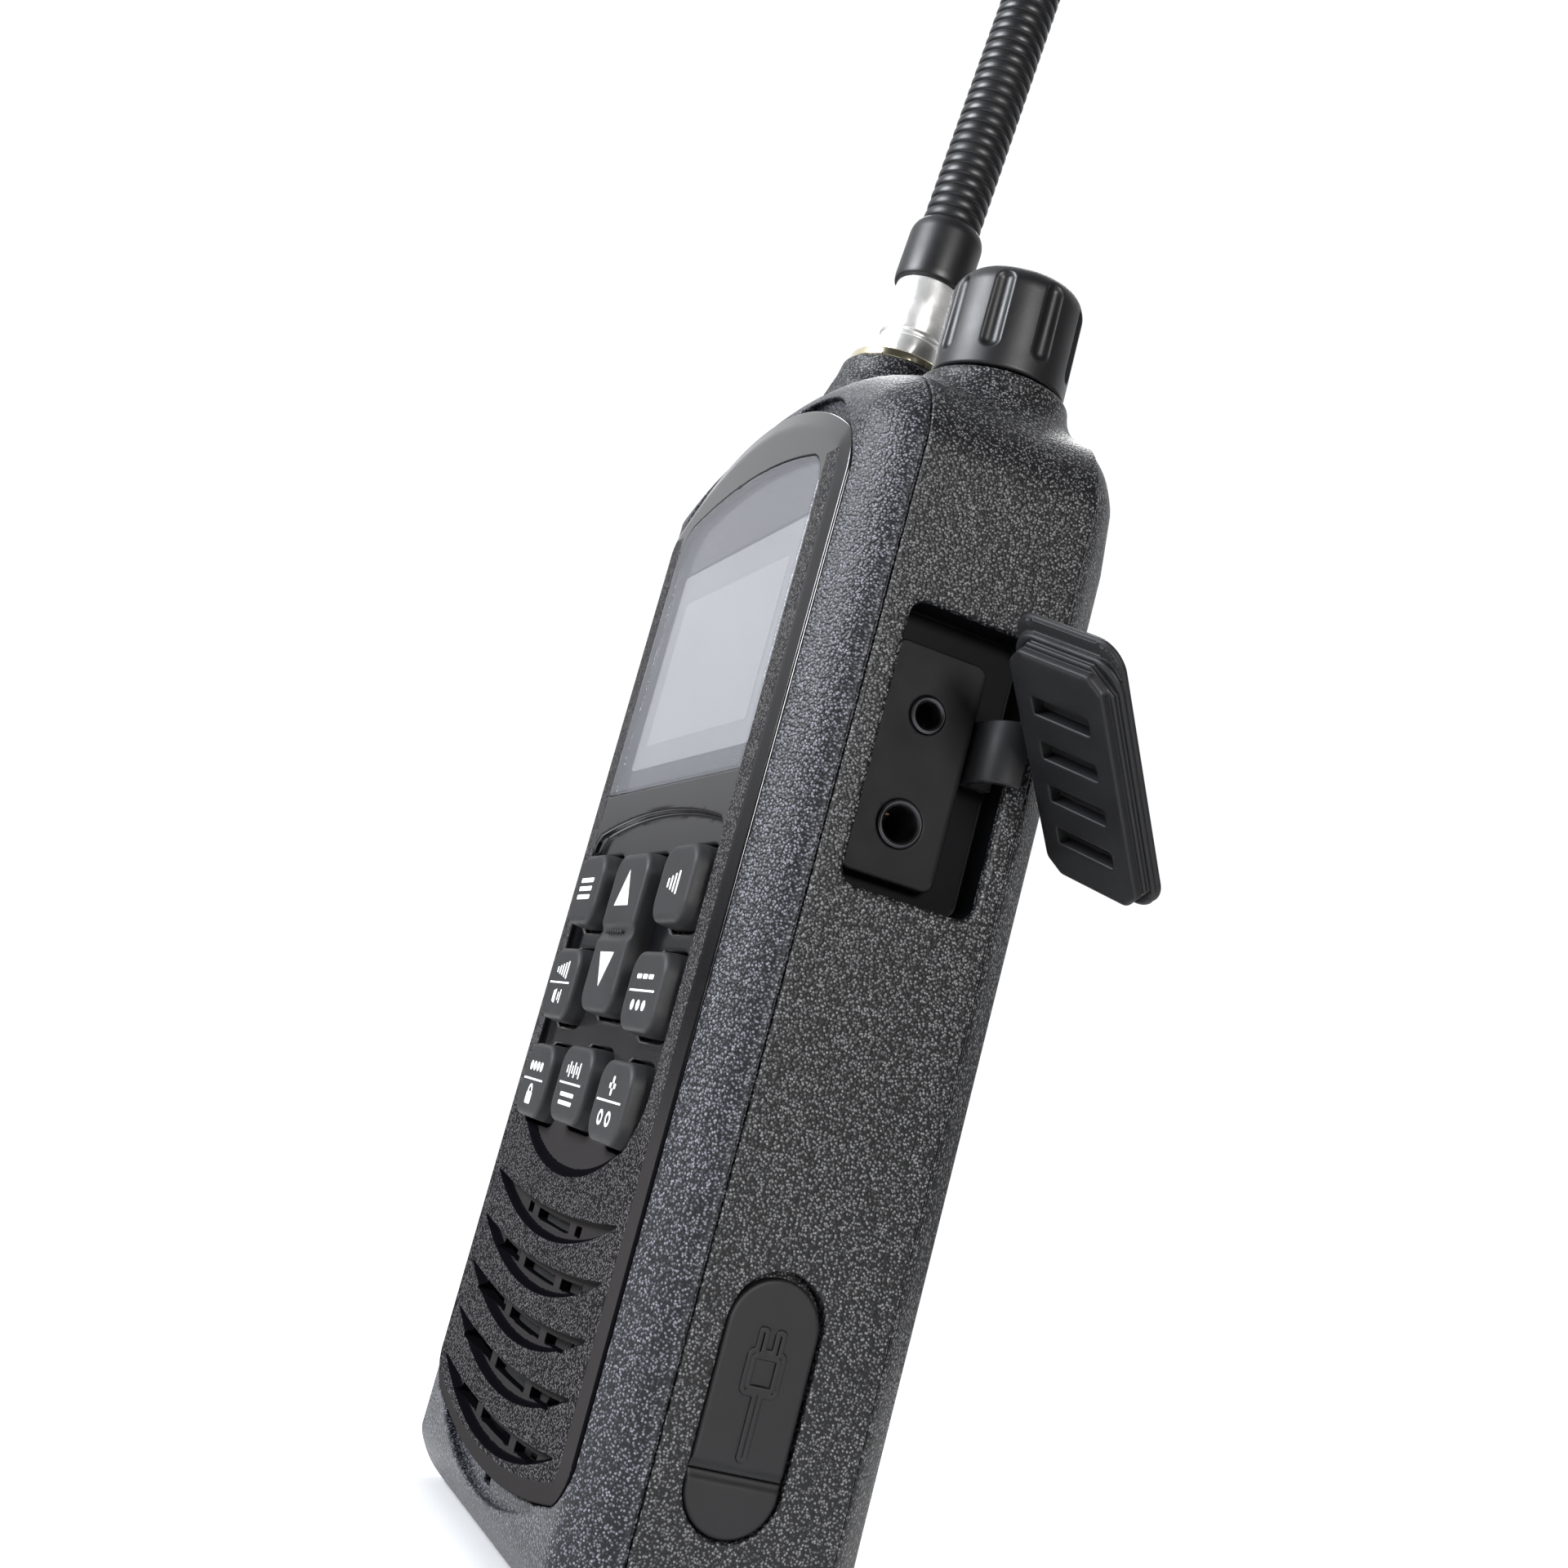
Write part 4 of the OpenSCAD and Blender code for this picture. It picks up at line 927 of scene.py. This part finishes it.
def cover_field(x, y, z):
    v, w = y - (COVER_Y[0] + COVER_Y[1]) / 2, z - (COVER_Z[0] + COVER_Z[1]) / 2
    hv, hw = (COVER_Y[1] - COVER_Y[0]) / 2, (COVER_Z[1] - COVER_Z[0]) / 2
    side = np.where(x > HALF_W + 0.1, rect(v, w - COVER_TAB / 2, hv, hw + COVER_TAB / 2, 3.0),
                    rect(v, w, hv, hw, 3.0))
    flange = smooth_max(side, np.abs(x - HALF_W - 0.2) - 0.7, 0.5)
    flange = smooth_max(flange, -(np.hypot(side, x - HALF_W - 0.15) - 0.17), 0.15)
    chamfer = (np.abs(v) + np.abs(w) - (hv + hw - 3.2)) / math.sqrt(2)
    inner = np.maximum(rect(v, w, hv - 0.4, hw - 0.4, 0.8), chamfer)
    inner = smooth_max(inner, PLATE_X + 0.3 - x, 0.45)
    inner = np.maximum(inner, x - HALF_W)
    step = rect(v, w, hv - 0.85, hw - 0.85, 1.6)
    inner = smooth_max(inner, np.minimum(step, HALF_W - 1.15 - x), 0.3)
    waist = np.hypot(inner, x - HALF_W + 0.62) - 0.16
    d = np.minimum(flange, inner)
    d = cut(d, waist, 0.15)
    for k in (-1.5, -0.5, 0.5, 1.5):
        hole = np.maximum(rect(y - 10.2, z - 86.6 - k * 5.05, 3.7, 1.0, 0.3), x - PLATE_X - 1.7)
        d = cut(d, hole, 0.2)
    return d


OPEN = (Matrix.Translation(SWING_POINT + Vector((0, 0, COVER_LIFT)))
        @ Matrix.Rotation(COVER_OPEN, 4, SWING_AXIS)
        @ Matrix.Translation(Vector((COVER_CLEAR, 0, 0)) - SWING_POINT))
carve("jack_cover_lid", cover_field, (PLATE_X - 0.1, 3.1, 72.8), (HALF_W + 1.1, 17.3, 102.8), 0.11,
      RUBBER, "jack_cover", ("jack_cover",), "cover_rubber", place=OPEN)


def strap_mesh():
    """A flat band from the channel behind the jack plate to the edge of the open cover."""
    z_mid = 89.2
    path = [Vector(p) for p in ((30.6, 14.6, z_mid), (31.8, 14.5, z_mid), (33.2, 14.7, z_mid),
                                (34.4, 15.3, z_mid + 0.1), (35.1, 16.4, z_mid + 0.2),
                                (35.3, 17.9, z_mid + 0.2))]
    pts = []
    n = 40
    for k in range(n + 1):
        t = k / n * (len(path) - 1)
        i = min(int(t), len(path) - 2)
        p0, p1, p2, p3 = (path[max(i - 1, 0)], path[i], path[i + 1], path[min(i + 2, len(path) - 1)])
        f = t - i
        pts.append(0.5 * ((2 * p1) + (p2 - p0) * f + (2 * p0 - 5 * p1 + 4 * p2 - p3) * f ** 2
                          + (3 * p1 - p0 - 3 * p2 + p3) * f ** 3))
    section = []
    for a in range(4):
        for k in range(5):
            ang = math.radians(90 * a + 90 * k / 4)
            cu, cv = ((1, 1), (-1, 1), (-1, -1), (1, -1))[a]
            section.append((cu * 0.3 + 0.25 * math.cos(ang), cv * 2.95 + 0.25 * math.sin(ang)))
    rings = []
    for k, p in enumerate(pts):
        ahead = pts[min(k + 1, n)] - pts[max(k - 1, 0)]
        side = ahead.cross(Vector((0, 0, 1))).normalized()
        rings.append([p + side * su + Vector((0, 0, sv)) for su, sv in section])
    bm = bmesh.new()
    sweep(bm, rings)
    bmesh.ops.recalc_face_normals(bm, faces=bm.faces)
    return close_mesh(bm, "jack_cover_band")


strap = new_object("jack_cover_band", strap_mesh(), RUBBER, None, ("jack_cover_strap",), "cover_rubber")
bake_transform(strap)


def coil_pair():
    """Two small compression springs under the battery latch."""
    bm = bmesh.new()
    turns, steps, wire = 4.5, 90, 0.11
    for x0 in (-4.0, 4.0):
        rings = []
        for k in range(steps + 1):
            t = k / steps
            a = 2 * math.pi * turns * t
            out = Vector((math.cos(a), math.sin(a), 0))
            centre = Vector((x0, 23.6, 88.85 + 2.3 * t)) + out * 0.52
            rings.append([centre + out * wire * math.cos(b) + Vector((0, 0, wire * math.sin(b)))
                          for b in (i * math.pi / 4 for i in range(8))])
        sweep(bm, rings)
    bmesh.ops.recalc_face_normals(bm, faces=bm.faces)
    return close_mesh(bm, "latch_coils")


coils = new_object("latch_coils", coil_pair(), BY_SLOT["steel"], "radio", ("latch_spring",), "steel")
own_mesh(coils)


def usb_lid(x, y, z):
    v, w = y - USB_Y, z - USB_Z
    d = smooth_max(stadium(v, w, USB_W, USB_H), np.abs(x - HALF_W + 0.9) - 0.7, 0.5)
    d = np.maximum(d, USB_HINGE + 0.03 - z)
    d = cut(d, (np.hypot(z - USB_HINGE, x - HALF_W - 0.6) - 1.15), 0.2)
    tongue = round_max(rect(v, z - 28.4, 1.6, 4.5, 0.9), np.abs(x - HALF_W + 2.0) - 0.6, 0.2)
    d = np.minimum(d, tongue)
    mark = np.minimum(rect(v, z - 27.6, 1.7, 1.9, 0.5), rect(v, z - 22.9, 0.28, 3.0, 0.2))
    for s in (-1, 1):
        mark = np.minimum(mark, rect(v - s * 0.85, z - 30.3, 0.3, 1.1, 0.2))
    mark = np.maximum(mark, -(rect(v, z - 27.6, 1.25, 1.45, 0.3)))
    line = smooth_max(np.abs(mark) - 0.26, np.abs(x - HALF_W + 0.35) - 0.4, 0.12)
    return np.minimum(d, line)


carve("usb_cover_lid", usb_lid, (HALF_W - 2.7, 3.4, USB_HINGE), (HALF_W + 0.3, 12.9, 36.8), 0.09,
      RUBBER, "usb_cover", ("usb_cover",), "cover_rubber")


def usb_root(x, y, z):
    d = smooth_max(stadium(y - USB_Y, z - USB_Z, USB_W, USB_H), np.abs(x - HALF_W + 0.9) - 0.7, 0.5)
    d = np.maximum(d, z - USB_HINGE + 0.03)
    return cut(d, (np.hypot(z - USB_HINGE, x - HALF_W - 0.6) - 1.15), 0.2)


carve("usb_cover_foot", usb_root, (HALF_W - 1.7, 3.4, 12.5), (HALF_W, 12.9, USB_HINGE), 0.1,
      RUBBER, "radio", ("usb_cover_root",), "cover_rubber")


# ---- volume knob
def knob(x, y, z):
    u, v, w = x - KNOB[0], y - KNOB[1], z - BOSS_TOP - 0.4
    rho = np.hypot(u, v)
    crown = w - KNOB_H + 0.0042 * rho ** 2 * 1.6
    d = round_max(rho - KNOB_R + 0.012 * w, crown, 2.4)
    d = round_max(d, -w, 0.4)
    for k in range(8):
        a = math.radians(6 + 45 * k)
        px, py = (KNOB_R + 0.25) * math.cos(a), (KNOB_R + 0.25) * math.sin(a)
        flute = np.sqrt((u - px) ** 2 + (v - py) ** 2 + np.maximum(np.abs(w - 6.6) - 3.5, 0) ** 2) - 1.0
        d = cut(d, flute, 0.35)
    cave = np.maximum(np.maximum(rho - 6.3, w - 8.6), -np.maximum(rho - 4.1, 2.6 - w))
    d = cut(d, cave)
    return cut(d, np.maximum(rho - 3.01, w - 8.0))


carve("volume_knob_cap", knob, (12, 3.6, BOSS_TOP + 0.3), (28, 19.6, BOSS_TOP + 12.8), 0.11,
      KNOB_MAT, "volume_control", ("volume_knob",), "knob_plastic")


# ---- antenna
LEAN = Matrix.Translation(ANT_BASE) @ Matrix.Rotation(-ANT_LEAN, 4, "X")


def rounded_profile(points, r=0.2, steps=4):
    """Closed profile with each corner off the axis rounded."""
    out = []
    n = len(points)
    for i, p in enumerate(points):
        a, b = Vector(points[i - 1]), Vector(points[(i + 1) % n])
        c = Vector(p)
        if c.x < 1e-6:
            out.append(tuple(c))
            continue
        ra = min(r, (a - c).length * 0.45, (b - c).length * 0.45)
        s, e = c + (a - c).normalized() * ra, c + (b - c).normalized() * ra
        for k in range(steps + 1):
            t = k / steps
            out.append(tuple(s * (1 - t) ** 2 + c * 2 * t * (1 - t) + e * t * t))
    return out


washer = rounded_profile([(3.2, 0.05), (6.1, 0.05), (6.1, 1.1), (5.2, 1.45), (3.2, 1.45)], 0.22)
new_object("antenna_washer_ring", lathe_mesh("antenna_washer_ring", washer, 96, LEAN), BRASS, "radio",
           ("antenna_washer",), "brass_plate")
sleeve = rounded_profile([(3.17, 1.9), (3.9, 1.9), (3.9, 4.2), (3.65, 4.45), (3.65, 4.9), (3.9, 5.1),
                          (3.9, 11.78), (3.0, 11.78), (3.0, 9.0), (3.17, 9.0)], 0.18)
new_object("antenna_sleeve_plated", lathe_mesh("antenna_sleeve_plated", sleeve, 96, LEAN), NICKEL, "antenna",
           ("antenna_sleeve",), "nickel")
collar = rounded_profile([(0, 11.8), (4.25, 11.8), (4.4, 12.6), (4.4, 18.6), (4.1, 19.5), (3.45, 20.2),
                          (0, 20.2)], 0.5)
new_object("antenna_collar_boot", lathe_mesh("antenna_collar_boot", collar, 96, LEAN), KNOB_MAT, "antenna",
           ("antenna_collar",), "knob_plastic")
pitch = 1.42
whip_profile = [(0, 20.2)]
steps = int(WHIP_L / pitch) * 10
for k in range(steps + 1):
    z = 20.2 + WHIP_L * k / steps
    phase = (k % 10) / 10
    bulge = math.sqrt(max(0.0, 1 - (2 * phase - 1) ** 2 * 0.98))
    taper = 3.5 - 0.35 * k / steps
    whip_profile.append((taper - 0.32 + 0.32 * bulge, z))
whip_profile.append((0, 20.2 + WHIP_L))
new_object("antenna_whip_sheath", lathe_mesh("antenna_whip_sheath", whip_profile, 64, LEAN), WHIP, "antenna",
           ("antenna_whip",), "whip_rubber")
end = 20.2 + WHIP_L
cap = [(0, end)] + rounded_profile([(3.85, end), (3.95, end + 1.2), (3.75, end + 9)], 0.3)[0:10]
cap += [(3.72 * math.cos(math.radians(a)), end + 9 + 3.65 * math.sin(math.radians(a)))
        for a in range(0, 90, 9)] + [(0, end + 12.65)]
new_object("antenna_end_cap", lathe_mesh("antenna_end_cap", cap, 64, LEAN), WHIP, "antenna",
           ("antenna_cap",), "whip_rubber")


# ---- left side
def side_button(cz, half_y, half_z, proud, r, ribs):
    def field(x, y, z):
        v, w = y - PTT_Y, z - cz
        side = rect(v, w, half_y, half_z, r)
        crown = 0.03 * (v ** 2) / half_y + 0.012 * (w ** 2) / half_z
        d = smooth_max(side, -x - HALF_W - proud + crown, 0.8)
        d = np.maximum(d, x + HALF_W - 2.5)
        flange = round_max(side - 0.8, np.abs(x + HALF_W - 2.85) - 0.42, 0.1)
        d = np.minimum(d, flange)
        for k in ribs:
            line = np.hypot(w - k, (x + HALF_W + proud) * 0.8) - 0.42
            d = cut(d, np.maximum(line, np.abs(v) - half_y + 2.4), 0.25)
        return d
    return field


buttons = (("ptt_button", "ptt", PTT_Z, 5.5, 13.5, 1.5, 2.7, (-4, -2, 0, 2, 4)),
           ("side_key_upper", "upper_side_key", SIDE_KEY_Z[0], 4.0, 4.75, 0.9, 2.2, (0,)),
           ("side_key_lower", "lower_side_key", SIDE_KEY_Z[1], 4.0, 4.75, 0.9, 2.2, (-0.9, 0.9)))
for node, body, cz, half_y, half_z, proud, r, ribs in buttons:
    carve(node + "_cap", side_button(cz, half_y, half_z, proud, r, ribs),
          (-HALF_W - proud, PTT_Y - half_y - 0.9, cz - half_z - 0.9),
          (-HALF_W + 3.4, PTT_Y + half_y + 0.9, cz + half_z + 0.9), 0.13,
          RUBBER, body, (node,), "cover_rubber")


# ---- back: latch and belt clip
def latch(x, y, z):
    d = block(x, y, z, (-7, 22.9, 91.4), (7, 24.7, 96.6), 0.5)
    d = np.minimum(d, block(x, y, z, (-5, 22.9, 96.0), (5, 24.1, 98.9), 0.3))
    for k in range(4):
        d = smooth_min(d, block(x, y, z, (-6, 24.2, 91.8 + k * 1.2), (6, 25.1, 92.5 + k * 1.2), 0.3), 0.2)
    return d


carve("battery_latch_slide", latch, (-7, 22.8, 91.3), (7, 25.2, 99), 0.12,
      RUBBER, "latch", ("battery_latch",), "inner_plastic")


def clip_bracket(x, y, z):
    d = block(x, y, z, (-12, 25.02, 101), (12, 26.3, 116), 0.5)
    for s in (-1, 1):
        v, w = y - CLIP_PIN[0], z - CLIP_PIN[1]
        ear = smooth_min(np.hypot(v, w) - 2.3, rect(y - 26.8, z - CLIP_PIN[1], 1.2, 4.0, 0.6), 2.5)
        ear = round_max(ear, np.abs(x - s * 10.3) - 1.1, 0.3)
        d = smooth_min(d, ear, 0.8)
    d = cut(d, (np.hypot(y - CLIP_PIN[0], z - CLIP_PIN[1]) - 1.12))
    for s in (-6.4, 6.4):
        d = cut(d, (np.hypot(x - s, z - 112.8) - 1.1))
    return d


carve("clip_bracket_mount", clip_bracket, (-12, 25, 100.9), (12, 31.8, 116.1), 0.13,
      KNOB_MAT, "radio", ("clip_bracket",), "inner_plastic")


def clip(x, y, z):
    plate = block(x, y, z, (-8.8, 29.8, 50), (8.8, 31.55, 119), 0.75)
    plate = np.maximum(plate, rect(x, z - 84.5, 8.8, 34.5, 3.2))
    d = smooth_min(plate, rod(y - CLIP_PIN[0], z - CLIP_PIN[1], x, 2.35, -8.8, 8.8), 1.2)
    d = smooth_min(d, block(x, y, z, (-8.8, 28.2, 50.2), (8.8, 30.5, 56.5), 0.8), 1.0)
    d = cut(d, block(x, y, z, (-4.5, 31.2, 62), (4.5, 40, 98), 1.5), 0.4)
    for k in range(3):
        d = smooth_min(d, block(x, y, z, (-5, 31.0, 112 + k * 1.9), (5, 31.6, 112.8 + k * 1.9), 0.3), 0.3)
    d = cut(d, (np.hypot(y - CLIP_PIN[0], z - CLIP_PIN[1]) - 1.15))
    for x0 in (-7.2, 3.0):
        notch = np.maximum(np.hypot(y - CLIP_PIN[0], z - CLIP_PIN[1]) - 2.3, np.abs(x - x0 - 2.1) - 2.1)
        d = cut(d, notch)
    return d


carve("belt_clip_arm", clip, (-8.9, 26.9, 49.9), (8.9, 31.7, 119.1), 0.16,
      KNOB_MAT, "clip", ("belt_clip",), "inner_plastic")

# ---- floor, light
floor_material = Graph("floor")
floor_material.bump(floor_material.noise(40.0), 0.02, 0.0005)
floor_material.set(Base_Color=floor_material.mix(floor_material.noise(3.0), (0.86, 0.86, 0.86), (0.9, 0.9, 0.9)),
                   Roughness=0.7)
away = floor_material.node("ShaderNodeVectorMath", {0: floor_material.coords}, operation="LENGTH")
floor_material.set(Alpha=floor_material.span(away.outputs["Value"], 0.16, 0.42, 1.0, 0.0))
bm = bmesh.new()
bmesh.ops.create_grid(bm, x_segments=8, y_segments=8, size=0.5)
floor_mesh = bpy.data.meshes.new("floor")
bm.to_mesh(floor_mesh)
bm.free()
floor = bpy.data.objects.new("floor", floor_mesh)
scene.collection.objects.link(floor)
floor_mesh.materials.append(floor_material.material)

world = bpy.data.worlds.new("studio")
scene.world = world
world.use_nodes = True
world.node_tree.nodes["Background"].inputs["Color"].default_value = (0.97, 0.98, 1.0, 1)
nodes, links = world.node_tree.nodes, world.node_tree.links
direction = nodes.new("ShaderNodeSeparateXYZ")
links.new(nodes.new("ShaderNodeTexCoord").outputs["Generated"], direction.inputs[0])


def world_ramp(value, low, high, at_low, at_high):
    ramp = nodes.new("ShaderNodeMapRange")
    ramp.interpolation_type = "SMOOTHSTEP"
    for label, number in (("From Min", low), ("From Max", high), ("To Min", at_low), ("To Max", at_high)):
        ramp.inputs[label].default_value = number
    links.new(value, ramp.inputs["Value"])
    return ramp


behind = world_ramp(direction.outputs["X"], -0.35, 0.45, 1.0, 0.0)
above = world_ramp(direction.outputs["Z"], 0.03, 0.28, 0.10, 0.95)
wall = nodes.new("ShaderNodeMath")
wall.operation = "MULTIPLY_ADD"
wall.inputs[2].default_value = 0.07
links.new(behind.outputs[0], wall.inputs[0])
links.new(above.outputs[0], wall.inputs[1])
seen = world_ramp(nodes.new("ShaderNodeLightPath").outputs["Is Camera Ray"], 0.0, 1.0, 0.0, 1.05)
links.new(wall.outputs[0], seen.inputs["To Min"])
links.new(seen.outputs[0], nodes["Background"].inputs["Strength"])
scene.view_settings.view_transform = "Standard"


def area(name, at, target, size, power, colour=(1, 1, 1)):
    light = bpy.data.lights.new(name, "AREA")
    light.shape, light.size, light.energy, light.color = "DISK", size, power, colour
    lamp = bpy.data.objects.new(name, light)
    lamp.location = at
    lamp.rotation_euler = (Vector(target) - Vector(at)).to_track_quat("-Z", "Y").to_euler()
    scene.collection.objects.link(lamp)


area("key", (0.0, -0.6, 0.4), (0, 0, 0.07), 0.35, 8.0, (0.92, 0.95, 1.0))
area("side", (0.8, 0.0, 0.28), (0, 0, 0.06), 0.25, 5.8, (1.0, 0.99, 0.98))
area("rim", (-0.5, 0.2, 0.7), (0, 0, 0.12), 0.4, 4.0)

print("pieces", len(made), "triangles", sum(len(o.data.polygons) for o in made))
